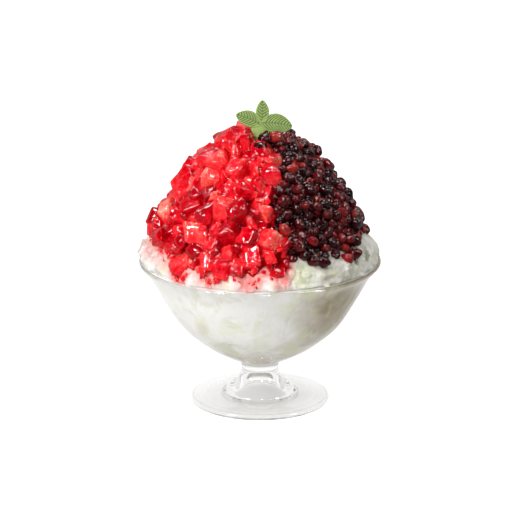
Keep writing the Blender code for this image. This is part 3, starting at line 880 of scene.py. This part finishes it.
class Lying:
    """Where each piece lies: capsules with a middle, a way, a half length and a radius."""

    def __init__(self, rng):
        rows = []
        for spot, size, side in PLACED:
            radius = size / 2 if side < 0 else size * BEAN_WIDTH / 2
            rows.append((Vector(spot), PLACED_WAY.normalized(), 1.0, radius, side, 2.0, size))
        for side, counts in ((-1, DICE_COUNT), (1, BEAN_COUNT)):
            for layer, count in enumerate(counts):
                for _ in range(count):
                    spot, normal = random_spot(side, rng)
                    if side < 0:
                        size = dice_size(rng)
                        half, radius = size * 0.12, size * 0.47
                        depth = size * rng.uniform(*DICE_DEPTHS[layer])
                    else:
                        size = rng.uniform(0.85, 1.22)
                        half, radius = size * (BEAN_LENGTH - BEAN_WIDTH) / 2, size * BEAN_WIDTH / 2 * 0.95
                        depth = BEAN_WIDTH * rng.uniform(*BEAN_DEPTHS[layer])
                    way = random_way(rng)
                    if side > 0 and layer == 0:
                        way = (way - normal * way.dot(normal) * 0.35).normalized()
                    rows.append((spot - normal * depth, way, half, radius, side, depth, size))
        for _ in range(BITS_COUNT):
            spot, normal = random_spot(-1, rng)
            size = rng.uniform(*BITS_SIZES)
            way = random_way(rng)
            depth = size * rng.uniform(0.2, 1.0)
            rows.append((spot - normal * depth, way, size * 0.1, size * 0.42, -1, depth, size))
        columns = [np.array(column) for column in zip(*rows, strict=True)]
        self.middles, self.ways, self.halves, self.radii, self.sides, self.depths, self.sizes = columns
        for i, (x, y, z) in enumerate(self.middles.tolist()):
            if i >= len(PLACED):
                size, height = CLUMPS[0 if self.sides[i] < 0 else 1]
                self.depths[i] += height * wavy(x, y, z, size, 6.7) + slimming(x, z)

    def settle(self):
        """Pushes pieces apart until they hardly cross, and keeps each at its depth and on its side."""
        gap = self.middles[:, None] - self.middles[None]
        near = np.triu((gap**2).sum(axis=2) < SETTLE_REACH**2, 1)
        first, second = np.nonzero(near)
        angles = np.arange(-180, 181)
        edges = np.array([topping_edge(float(a)) for a in angles])
        for _ in range(SETTLE_ROUNDS):
            moves = self.pushes(first, second)
            moves[: len(PLACED)] = 0.0
            self.middles += moves
            depth, way = heap_depth(self.middles)
            self.middles += way * ((depth - self.depths) * PULL)[:, None]
            azimuths = np.degrees(np.arctan2(self.middles[:, 0], -self.middles[:, 1]))
            least = np.interp(azimuths, angles, edges) + self.radii * OVER_EDGE
            self.middles[:, 2] = np.maximum(self.middles[:, 2], least)
            seam = np.interp(self.middles[:, 1], *SEAM_TABLE)
            over = (seam + self.sides * self.radii * OFF_SEAM - self.middles[:, 0]) * self.sides
            self.middles[:, 0] += np.maximum(over, 0.0) * self.sides * 0.5
            self.middles = inside_rim(self.middles, self.radii * OFF_RIM)
            self.middles[: len(PLACED)] = [spot for spot, _, _ in PLACED]
        self.middles = inside_rim(self.middles, self.radii * OFF_RIM_LAST)
        self.drop_strays()

    def drop_strays(self):
        """Leaves out the pieces that would stick through the leaf or out of the left shoulder."""
        x, y, z = self.middles.T
        through_leaf = (x > -13.0) & (x < 15.0) & (y > -27.0) & (y < -3.0) & (z + self.radii > 190.5)
        shoulder = (x - self.radii < -31.0) & (0.957 * z + 0.289 * y + self.radii > 178.0)
        keep = ~(through_leaf | shoulder)
        keep[: len(PLACED)] = True
        for name in ("middles", "ways", "halves", "radii", "sides", "depths", "sizes"):
            setattr(self, name, getattr(self, name)[keep])

    def pushes(self, first, second):
        """How far each piece is pushed by those that it crosses."""
        a, b = (self.ways[which] * self.halves[which, None] for which in (first, second))
        gap = self.middles[first] - self.middles[second]
        aa, bb, ab = (a * a).sum(1) + 1e-9, (b * b).sum(1) + 1e-9, (a * b).sum(1)
        ga, gb = (gap * a).sum(1), (gap * b).sum(1)
        s = np.clip((ab * gb - bb * ga) / np.maximum(aa * bb - ab * ab, 1e-6), -1, 1)
        t = np.clip((gb + s * ab) / bb, -1, 1)
        s = np.clip((t * ab - ga) / aa, -1, 1)
        between = gap + a * s[:, None] - b * t[:, None]
        length = np.sqrt((between**2).sum(1)) + 1e-9
        over = np.maximum(self.radii[first] + self.radii[second] - length, 0.0)
        push = between / length[:, None] * (over * PUSH)[:, None]
        moves = np.zeros_like(self.middles)
        np.add.at(moves, first, push)
        np.add.at(moves, second, -push)
        return moves


# ---------------------------------------------------------------- the strawberries

DICE_LEVELS = [-1.0, -0.84, -0.55, 0.0, 0.55, 0.84, 1.0]
DICE_SEED = 31
SKIN_SHARE = 0.6
NOISE_SHIFTS = ((9.3, -1.5, -7.9), (-3.1, 6.4, 2.7), (5.2, 2.9, -4.6))


def strawberry_finish():
    finish = wet_finish("cut strawberry", 0.4, (1.0, 0.1, 0.08), 0.0006, (1.0, 0.05, 1.5))
    fruit = finish.value("fruit", "Vector")
    cells = finish.noise(fruit, 3.2, 4.0, 0.62, 0.6)
    fibres = finish.noise(finish.stretched(fruit, (0.25, 1.0, 1.0)), 1.1, 2.0, 0.5, 0.3)
    tone = finish.plus(finish.value("tone"), finish.span(cells, 0.25, 0.75, -0.34, 0.30))
    tone = finish.plus(tone, finish.span(fibres, 0.3, 0.7, -0.07, 0.08), clamp=True)
    stops = [
        (0.0, (0.36, 0.0, 0.003)),
        (0.2, (0.60, 0.0, 0.006)),
        (0.45, (0.84, 0.008, 0.018)),
        (0.66, (0.95, 0.045, 0.045)),
        (0.84, (1.0, 0.14, 0.10)),
        (1.0, (1.0, 0.36, 0.27)),
    ]
    rough = finish.plus(finish.times(cells, 1.2), finish.times(fibres, 0.4))
    finish.use(Base_Color=finish.ramp(tone, stops), Normal=finish.bump(rough, 1.1, 0.8))
    finish.use(Coat_Normal=finish.wrinkles(9.0))
    return finish.material


def rounded(grid, radius):
    """The cube's points moved onto a box with rounded edges."""
    core = np.clip(grid, -(1 - radius), 1 - radius)
    way = grid - core
    length = np.linalg.norm(way, axis=1, keepdims=True)
    return core + way / np.maximum(length, 1e-9) * radius


def dented(point):
    """Noise in three directions. mathutils' noise_vector isn't used, because it differs in each run."""
    return np.array([noise.noise(point + Vector(shift)) for shift in NOISE_SHIFTS])


def die_shape(grid, rng):
    """A cut piece of fruit about 2 wide: a die, a wedge or a slab, bulged at +x where it has skin."""
    shape = rounded(grid, rng.uniform(0.2, 0.46))
    kind = rng.random()
    x, y, z = grid.T
    if kind < 0.38:
        shape[:, 1] *= 1 - rng.uniform(0.35, 0.75) * (1 - x) / 2
    elif kind < 0.55:
        shape[:, 2] *= rng.uniform(0.5, 0.7)
    shape[:, 1] += rng.uniform(-0.3, 0.3) * x
    shape[:, 2] += rng.uniform(-0.25, 0.25) * y
    shape *= np.array([rng.uniform(0.85, 1.2), rng.uniform(0.8, 1.1), rng.uniform(0.75, 1.0)])
    skin = rng.random() < SKIN_SHARE
    if skin:
        shape[:, 0] += 0.25 * np.clip(x, 0, 1) * (1 - y**2) * (1 - z**2)
    seed = rng.uniform(0.0, 50.0)
    for i, point in enumerate(shape.tolist()):
        shape[i] += dented(Vector(point) * 1.3 + Vector((seed, 0.0, 0.0))) * 0.13
    return shape, skin


def make_dice(lying, finish):
    """The pieces of strawberry. Returns their points and faces, for the film of syrup."""
    grid, faces = cube_grid(DICE_LEVELS)
    rng = random.Random(DICE_SEED)
    heap = Heap()
    for i in np.nonzero(lying.sides < 0)[0]:
        shape, skin = die_shape(grid, rng)
        _, way = heap_depth(lying.middles[i : i + 1])
        flat = Vector(way[0]).to_track_quat("Z", "Y").to_matrix()
        free = Euler([rng.uniform(0.0, math.tau) for _ in range(3)]).to_matrix()
        quarter = Euler([rng.randrange(4) * math.pi / 2 + rng.gauss(0.0, 0.3) for _ in range(3)]).to_matrix()
        around = Matrix.Rotation(rng.uniform(0.0, math.tau), 3, "Z")
        turn = np.array(flat @ around @ quarter if rng.random() < 0.6 else free)
        points = shape * (lying.sizes[i] / 2) @ turn.T + lying.middles[i]
        kind = rng.random()
        base = rng.uniform(0.12, 0.46) if kind < 0.7 else rng.uniform(0.46, 0.7) if kind < 0.96 else 0.8
        base = min(base, 0.68 if lying.sizes[i] > 12.5 else 0.84)
        # Painted shade: dice lower on the heap are made darker.
        base -= 0.14 * smoothstep(150.0, 112.0, lying.middles[i, 2])
        tone = base - rng.uniform(0.05, 0.25) * shape[:, 0]
        if skin:
            tone = np.where(grid[:, 0] > 0.9, np.minimum(tone, 0.2), tone)
        heap.add(points, faces, tone, shape * lying.sizes[i] / 2 + rng.uniform(0.0, 900.0))
    dice, *shape = heap.make("strawberry_dice", finish)
    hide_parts("chopped_strawberries")
    return shape


CRUMB_LEVELS = [-1.0, -0.6, 0.6, 1.0]
CRUMB_SEED = 61
CRUMB_COUNT = 220
CRUMB_SIZES = (1.2, 3.4)


def make_crumbs(finish):
    """Small bits of strawberry that lie in the stained ice under the edge of the dice."""
    grid, faces = cube_grid(CRUMB_LEVELS)
    rng = random.Random(CRUMB_SEED)
    heap = Heap()
    while len(heap.parts) < CRUMB_COUNT:
        azimuth = rng.uniform(-180.0, 180.0)
        z = topping_edge(azimuth) + 1.5 - rng.expovariate(1 / 2.0)
        way = Vector((*out_at(azimuth), 0.0))
        spot = way * mound_radius(z) + Vector((0.0, 0.0, z))
        if z < 103.5 or spot.x > seam_x(spot.y) - 7.0:
            continue
        size = rng.uniform(*CRUMB_SIZES)
        spot += way * (mound_relief(*spot) + size * rng.uniform(-0.25, 0.1))
        turn = Euler([rng.uniform(0.0, math.tau) for _ in range(3)]).to_matrix()
        shape, _ = die_shape(grid, rng)
        points = shape * (size / 2) @ np.array(turn).T + np.array(spot)
        heap.add(points, faces, rng.uniform(0.3, 0.85), shape * size / 2 + rng.uniform(0.0, 900.0))
    crumbs, *_ = heap.make("strawberry_crumbs", finish)
    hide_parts("chopped_strawberries")


# ---------------------------------------------------------------- the beans

BEAN_LEVELS = [-1.0, -0.62, -0.22, 0.22, 0.62, 1.0]
BEAN_SEED = 47


def bean_finish():
    finish = wet_finish("sweet red bean", 0.4, (1.0, 0.12, 0.1), 0.0006, (0.75, 0.035, 1.46))
    fruit = finish.value("fruit", "Vector")
    skin = finish.noise(fruit, 2.6, 3.0, 0.6)
    tone = finish.plus(finish.value("tone"), finish.span(skin, 0.25, 0.75, -0.2, 0.2), clamp=True)
    stops = [
        (0.0, (0.008, 0.0005, 0.001)),
        (0.35, (0.066, 0.002, 0.003)),
        (0.65, (0.21, 0.006, 0.008)),
        (1.0, (0.36, 0.03, 0.018)),
    ]
    finish.use(Base_Color=finish.ramp(tone, stops), Normal=finish.bump(skin, 0.35, 0.6))
    finish.use(Coat_Normal=finish.wrinkles(6.0, 0.35))
    return finish.material


def bean_shape(grid, rng):
    """A bean 2 long, wide and thick: an oval, bent a little, with a dent where it hung in its pod."""
    ball = grid / np.linalg.norm(grid, axis=1, keepdims=True)
    x, y, z = ball.T
    blunt = rng.uniform(0.75, 1.0)
    shape = np.stack([np.sign(x) * np.abs(x) ** blunt, y, z], axis=1)
    shape[:, 1] -= rng.uniform(0.02, 0.16) * (x * x - 0.3)
    shape[:, 1] -= np.where(y > 0, 0.10 * np.exp(-((x / 0.35) ** 2) - (z / 0.3) ** 2), 0.0)
    seed = rng.uniform(0.0, 50.0)
    for i, (px, py, pz) in enumerate(ball.tolist()):
        spot = Vector((px + seed, py, pz))
        shape[i] *= 1.0 + 0.14 * noise.noise(spot * 1.3) + 0.06 * noise.noise(spot * 3.1)
    return shape


def make_beans(lying, finish):
    """The beans. Returns their points and faces, for the film of syrup."""
    grid, faces = cube_grid(BEAN_LEVELS)
    rng = random.Random(BEAN_SEED)
    heap = Heap()
    for i in np.nonzero(lying.sides > 0)[0]:
        along_it = Vector(lying.ways[i]).to_track_quat("X", "Z").to_matrix()
        roll = Matrix.Rotation(rng.uniform(0.0, math.tau), 3, "X")
        shape = bean_shape(grid, rng)
        lengths = np.array([BEAN_LENGTH, BEAN_WIDTH, BEAN_WIDTH]) * lying.sizes[i] / 2
        points = shape * lengths @ np.array(along_it @ roll).T + lying.middles[i]
        kind = rng.random()
        tone = rng.uniform(0.0, 0.36) if kind < 0.66 else rng.uniform(0.36, 0.66) if kind < 0.94 else 0.8
        heap.add(points, faces, tone, shape * BEAN_WIDTH / 2 + rng.uniform(0.0, 900.0))
    beans, *shape = heap.make("red_beans", finish)
    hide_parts("sweet_red_beans")
    return shape


# ---------------------------------------------------------------- the syrup between the pieces

BED_SINK = 8.0
BED_SKIRT = 0.8
BED_ROWS = 60
BED_TURN = 180
FILM_VOXEL = 1.15
FILM_SMOOTHING = 5
# How far the film lies under the skin of the pieces, among the dice and among the beans.
FILM_SINK = (0.7, 1.1)


def syrup_finish():
    finish = wet_finish("syrup", 0.3, (1.0, 0.15, 0.12), 0.0005, (1.0, 0.04, 1.42))
    place = finish.place()
    lumps = finish.noise(place, 5.0, 4.0, 0.6)
    stops = [(0.3, (0.26, 0.0, 0.002)), (0.5, (0.55, 0.001, 0.008)), (0.72, (0.85, 0.03, 0.03))]
    red = finish.ramp(lumps, stops)
    # Among the beans the syrup is near-black: real syrup, and painted shade in the gaps between the beans.
    black_syrup_shade = finish.ramp(lumps, [(0.3, (0.002, 0.0002, 0.0002)), (0.75, (0.010, 0.0006, 0.0006))])
    finish.use(Base_Color=finish.mix(finish.value("beans"), red, black_syrup_shade))
    finish.use(Coat_Normal=finish.wrinkles(7.0))
    finish.use(Coat_Weight=finish.span(finish.value("beans"), 0.0, 1.0, 1.0, 0.45))
    return finish.material


def bed_shape():
    """The pooled syrup under the pieces, over the ice, as a closed shape."""
    points = [(0.0, 0.0, MOUND_FOOT + 20.0)]
    for row in range(BED_ROWS):
        share = row / (BED_ROWS - 1)
        for k in range(BED_TURN):
            azimuth = 360.0 * k / BED_TURN
            low = rise_at(topping_edge(azimuth) + 5.0)
            rise = low + (0.995 - low) * share
            spot = dome_point(azimuth, rise)
            point = spot - dome_normal(azimuth, rise) * (BED_SINK + slimming(spot.x, spot.z))
            flat = math.hypot(point.x, point.y)
            least = mound_radius(point.z) - sunk(azimuth, point.z) + BED_SKIRT
            if rise < 0.6 and flat < least:
                point = Vector((point.x * least / flat, point.y * least / flat, point.z))
            points.append(tuple(point))
    points.append(tuple(dome_point(0.0, 1.0) - Vector((0.0, 0.0, BED_SINK))))
    return points, [face[:1] + face[:0:-1] for face in capped_faces(BED_ROWS, BED_TURN)]


def make_syrup(dice, beans):
    """The bed and the pieces fused into one soft skin that fills the creases between the pieces."""
    film = make_piece("syrup", *joined([bed_shape(), dice, beans]), syrup_finish())
    places = fused(film, FILM_VOXEL, FILM_SMOOTHING)
    seam = np.interp(places[:, 1], *SEAM_TABLE)
    bean_side = np.clip((places[:, 0] - seam) / 3.0 + 0.5, 0.0, 1.0)
    normals = np.empty(places.size, np.float32)
    film.data.vertex_normals.foreach_get("vector", normals)
    places -= normals.reshape(-1, 3) * (FILM_SINK[0] + (FILM_SINK[1] - FILM_SINK[0]) * bean_side)[:, None]
    film.data.vertices.foreach_set("co", (places * MM).astype(np.float32).ravel())
    give(film, {"beans": bean_side})
    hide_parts("chopped_strawberries", "sweet_red_beans")


# ---------------------------------------------------------------- the leaf

LOBE_LENGTH_STEPS = 90
LOBE_WIDTH_STEPS = 44
VEIN_PITCH = 2.05
VEIN_SLANT = 0.55
VEIN_BEND = 0.09
VEIN_DEPTH = 0.5
LEAF_EDGE = 0.7
LEAF_GREENS = ((0.24, 0.345, 0.085, 1.0), (0.295, 0.405, 0.11, 1.0))
# Painted shade: the dark green that the vein grooves are coloured towards, by their depth.
GROOVE_SHADE_GREEN = (0.045, 0.085, 0.012, 1.0)
# The stem's middle across and up the leaf, and half its width.
LEAF_STEM_STATIONS = [
    (0.0, -8.0, 1.0), (0.2, -2.0, 1.4), (0.7, 1.0, 2.4), (1.4, 3.4, 4.1), (2.2, 5.6, 5.6), (2.8, 8.6, 5.2),
]
LEAF_STEM_SIDES = 24
LEAF_STEM_THICK = 0.78


def leaf_finish():
    finish = Finish("green moulding", Roughness=0.5, Specular_IOR_Level=0.25)
    place = finish.place()
    blotches = finish.span(finish.noise(place, 6.0, 3.0), 0.3, 0.7)
    # Painted shade in the vein grooves, darker where they are deeper.
    colour = finish.mix(finish.value("vein"), finish.mix(blotches, *LEAF_GREENS), GROOVE_SHADE_GREEN)
    finish.use(Base_Color=colour, Normal=finish.bump(finish.noise(place, 0.5, 2.0), 0.06, 0.6))
    return finish.material


def groove(distance, width):
    return math.exp(-((distance / width) ** 2))


def lobe(length, width, bow, thickness):
    """A lobe's points, faces and groove depths, which darken the grooves' colour as painted shade. Its ribs
    slant outwards from a pressed midrib.
    """
    points, veins = [], []
    for side in (1, -1):
        for i in range(LOBE_LENGTH_STEPS + 1):
            t = i / LOBE_LENGTH_STEPS
            t = 0.5 - 0.5 * math.cos(math.pi * t)
            half = width / 2 * math.sin(math.pi * t) ** LOBE_FULLNESS if 0 < t < 1 else 0.0
            for j in range(LOBE_WIDTH_STEPS + 1):
                s = math.sin(math.pi * (j / LOBE_WIDTH_STEPS - 0.5))
                away = half * (1 - abs(s))
                edge = math.sqrt(clamped(1 - (1 - clamped(away / LEAF_EDGE)) ** 2))
                v = s * half
                slant = (t * length - VEIN_SLANT * abs(v) - VEIN_BEND * v * v) / VEIN_PITCH
                valley = (0.5 + 0.5 * math.cos(math.tau * slant)) ** 1.8
                valley *= smoothstep(0.3, 1.3, away) * smoothstep(0.0, 0.5, abs(v))
                middle = groove(v, 0.28)
                depth = max(valley, middle * 0.9)
                puff = 0.25 * math.sin(math.pi * t) * (1 - s * s)
                height = side * (thickness / 2) * edge + side * puff * edge - side * depth * VEIN_DEPTH * edge
                points.append((t * length, v - bow * math.sin(math.pi * t), height))
                veins.append(clamped(depth))
    n = LOBE_WIDTH_STEPS + 1
    half_count = (LOBE_LENGTH_STEPS + 1) * n
    faces = []
    for base, turn in ((0, 1), (half_count, -1)):
        for i in range(LOBE_LENGTH_STEPS):
            for j in range(LOBE_WIDTH_STEPS):
                a = base + i * n + j
                faces.append((a, a + n, a + n + 1, a + 1)[::turn])
    return np.array(points), faces, veins


def leaf_stem():
    """The stem, a strip that widens upwards into the lobes."""
    path = smooth_path(LEAF_STEM_STATIONS, 12)
    n = LEAF_STEM_SIDES
    points = []
    for u, v, half in path:
        for k in range(n):
            angle = math.tau * k / n
            thick = LEAF_STEM_THICK * math.copysign(abs(math.sin(angle)) ** 0.6, math.sin(angle))
            points.append((u + half * math.cos(angle), v, thick))
    faces = belt_faces(len(path), n, False)
    count = len(points)
    points += [(path[0][0], path[0][1], 0.0), (path[-1][0], path[-1][1], 0.0)]
    for k in range(n):
        after = (k + 1) % n
        faces.append((count, after, k, count))
        faces.append((count + 1, count - n + k, count - n + after, count + 1))
    return np.array(points), faces


def make_leaf():
    parts, veins = [], []
    for root_u, root_v, length, width, direction, bow, thickness in LEAF_LOBES.values():
        points, faces, own_veins = lobe(length, width, bow, thickness)
        turn = np.array(Matrix.Rotation(math.radians(direction), 3, "Z"))
        parts.append((points @ turn.T + np.array([root_u, root_v, 0.0]), faces))
        veins += own_veins
    stem_points, stem_faces = leaf_stem()
    parts.append((stem_points, stem_faces))
    veins += [0.0] * len(stem_points)
    points, faces = joined(parts)
    stand = np.array(Matrix.Rotation(math.pi / 2 + LEAF_LEAN, 3, "X"))
    points = points @ stand.T + np.array(LEAF_FOOT)
    leaf = make_piece("green_leaf", points, trimmed(faces), leaf_finish(), vein=veins)
    weld = leaf.modifiers.new("Weld", "WELD")
    weld.merge_threshold = 0.02 * MM
    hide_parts("leaf_garnish")


# ---------------------------------------------------------------- the studio

CAMERA_DISTANCE = 2.4
CAMERA_HEIGHT = 0.1
CAMERA_ELEVATION = math.radians(16.8)
CAMERA_LENS = 242.9
FLOOR_SIDE = 12.0
# How bright each is to the camera, through glass, to matt surfaces, in glossy coats and in clear glass.
FLOOR_GLOW = (1.1, 0.82, 0.34, 0.03, 0.80)
WORLD_GLOW = (1.0, 0.92, 0.26, 0.007, 0.8)
# Each lamp's place and sides in m, power in W, whether it lights matt surfaces and whether it is mirrored.
LAMPS = [
    ("key", (-0.9, -0.9, 1.3), (0.3, 0.3), 19.0, True, True),
    ("top", (0.6, 0.1, 1.5), (0.4, 0.4), 8.0, True, True),
    ("fill", (-0.8, -1.6, 0.5), (1.2, 0.9), 15.0, True, False),
    ("back", (0.9, 1.6, 0.8), (1.2, 0.9), 9.0, True, False),
    ("box left", (-1.2, -0.9, 0.9), (0.18, 0.5), 15.0, False, True),
    ("box front", (0.2, -1.3, 1.1), (0.4, 0.15), 12.0, False, True),
    ("box right", (1.2, -0.7, 0.8), (0.2, 0.6), 12.0, False, True),
    ("box high", (-0.3, 0.4, 1.6), (0.6, 0.2), 14.0, False, True),
]
LAMP_TARGET = (0.0, 0.0, 0.12)
# How bright the lamps are in clear glass.
LAMP_IN_GLASS = 0.05
# The part of the world that glossy coats see as a bright backdrop: its glow, and where it lies.
BACKDROP_GLOW = 0.5
BACKDROP_FROM, BACKDROP_TOP, BACKDROP_SLOPE = 0.15, 0.85, 3.0
# Painted shade on the floor, as seen through the glass: darker in front than behind, and a painted shadow
# under the bowl.
PAINTED_FLOOR_SHADES = (0.74, 1.03)
PAINTED_SHADOW_UNDER_BOWL = 0.66


def make_camera():
    camera = linked("camera", bpy.data.cameras.new("camera"))
    away = CAMERA_DISTANCE * math.cos(CAMERA_ELEVATION)
    camera.location = (0.0, -away, CAMERA_HEIGHT + CAMERA_DISTANCE * math.sin(CAMERA_ELEVATION))
    camera.rotation_euler = (math.pi / 2 - CAMERA_ELEVATION, 0.0, 0.0)
    camera.data.lens = CAMERA_LENS
    camera.data.clip_end = 50.0
    bpy.context.scene.camera = camera


def make_light(name, place, side, power, matt, mirrored):
    light = bpy.data.lights.new(name, "AREA")
    light.shape = "RECTANGLE"
    light.size, light.size_y = side
    light.energy = power
    made = linked(name, light)
    made.location = place
    made.rotation_euler = (Vector(LAMP_TARGET) - Vector(place)).to_track_quat("-Z", "Y").to_euler()
    made.visible_diffuse, made.visible_glossy = matt, mirrored
    made.visible_transmission = False
    light.use_nodes = True
    nodes = Nodes(light.node_tree)
    strength = nodes.math("MULTIPLY_ADD", nodes.rays()["Is Singular Ray"], LAMP_IN_GLASS - 1.0, 1.0)
    nodes.set(nodes.tree.nodes["Emission"], {"Strength": strength})


def make_floor():
    finish = Finish("pale floor", Roughness=0.9, Specular_IOR_Level=0.0, Emission_Color=(1.0, 1.0, 1.0, 1.0))
    cloud = finish.noise(finish.place(), 900.0, 2.0)
    finish.use(Base_Color=finish.mix(cloud, (0.24, 0.24, 0.24, 1.0), (0.26, 0.26, 0.26, 1.0)))
    # Painted shade and a painted shadow, seen only through the glass.
    shade = finish.span(finish.axis(finish.place(), "Y"), -0.03, 0.03, *PAINTED_FLOOR_SHADES)
    away = finish.add("VectorMath", {0: finish.place()}, "Value", operation="LENGTH")
    under = finish.span(away, 0.012, 0.04, PAINTED_SHADOW_UNDER_BOWL, 1.0)
    seen, through, *others = FLOOR_GLOW
    through = finish.times(finish.times(shade, under), through)
    finish.use(Emission_Strength=finish.by_ray(seen, through, *others))
    finish.material.cycles.emission_sampling = "NONE"
    mesh = bpy.data.meshes.new("floor")
    half = FLOOR_SIDE / 2
    corners = [(-half, -half, 0.0), (half, -half, 0.0), (half, half, 0.0), (-half, half, 0.0)]
    mesh.from_pydata(corners, [], [(0, 1, 2, 3)])
    mesh.materials.append(finish.material)
    floor = linked("floor", mesh)


def make_world():
    world = bpy.data.worlds.new("studio")
    world.use_nodes = True
    nodes = Nodes(world.node_tree)
    way = nodes.add("TexCoord", {}, "Generated")
    near, far = -BACKDROP_SLOPE * BACKDROP_FROM, BACKDROP_SLOPE * BACKDROP_TOP
    behind = nodes.math("MULTIPLY_ADD", nodes.axis(way, "Y"), BACKDROP_SLOPE, near, clamp=True)
    below = nodes.math("MULTIPLY_ADD", nodes.axis(way, "Z"), -BACKDROP_SLOPE, far, clamp=True)
    seen, through, matt, coated, glassy = WORLD_GLOW
    coated = nodes.math("MULTIPLY_ADD", nodes.times(behind, below), BACKDROP_GLOW - coated, coated)
    strength = nodes.by_ray(seen, through, matt, coated, glassy)
    nodes.set(nodes.tree.nodes["Background"], {"Color": (1.0, 1.0, 1.0, 1.0), "Strength": strength})
    world.cycles.sampling_method = "NONE"
    bpy.context.scene.world = world


def make_studio():
    make_camera()
    make_floor()
    make_world()
    for lamp in LAMPS:
        make_light(*lamp)
    bpy.context.scene.view_settings.view_transform = "Standard"


# ---------------------------------------------------------------- the whole


def main():
    make_studio()
    ice = ice_finish()
    make_glass()
    make_ice_core(ice)
    make_ice_band(ice)
    lying = Lying(random.Random(LYING_SEED))
    lying.settle()
    strawberry = strawberry_finish()
    dice = make_dice(lying, strawberry)
    make_crumbs(strawberry)
    beans = make_beans(lying, bean_finish())
    make_syrup(dice, beans)
    make_leaf()


main()
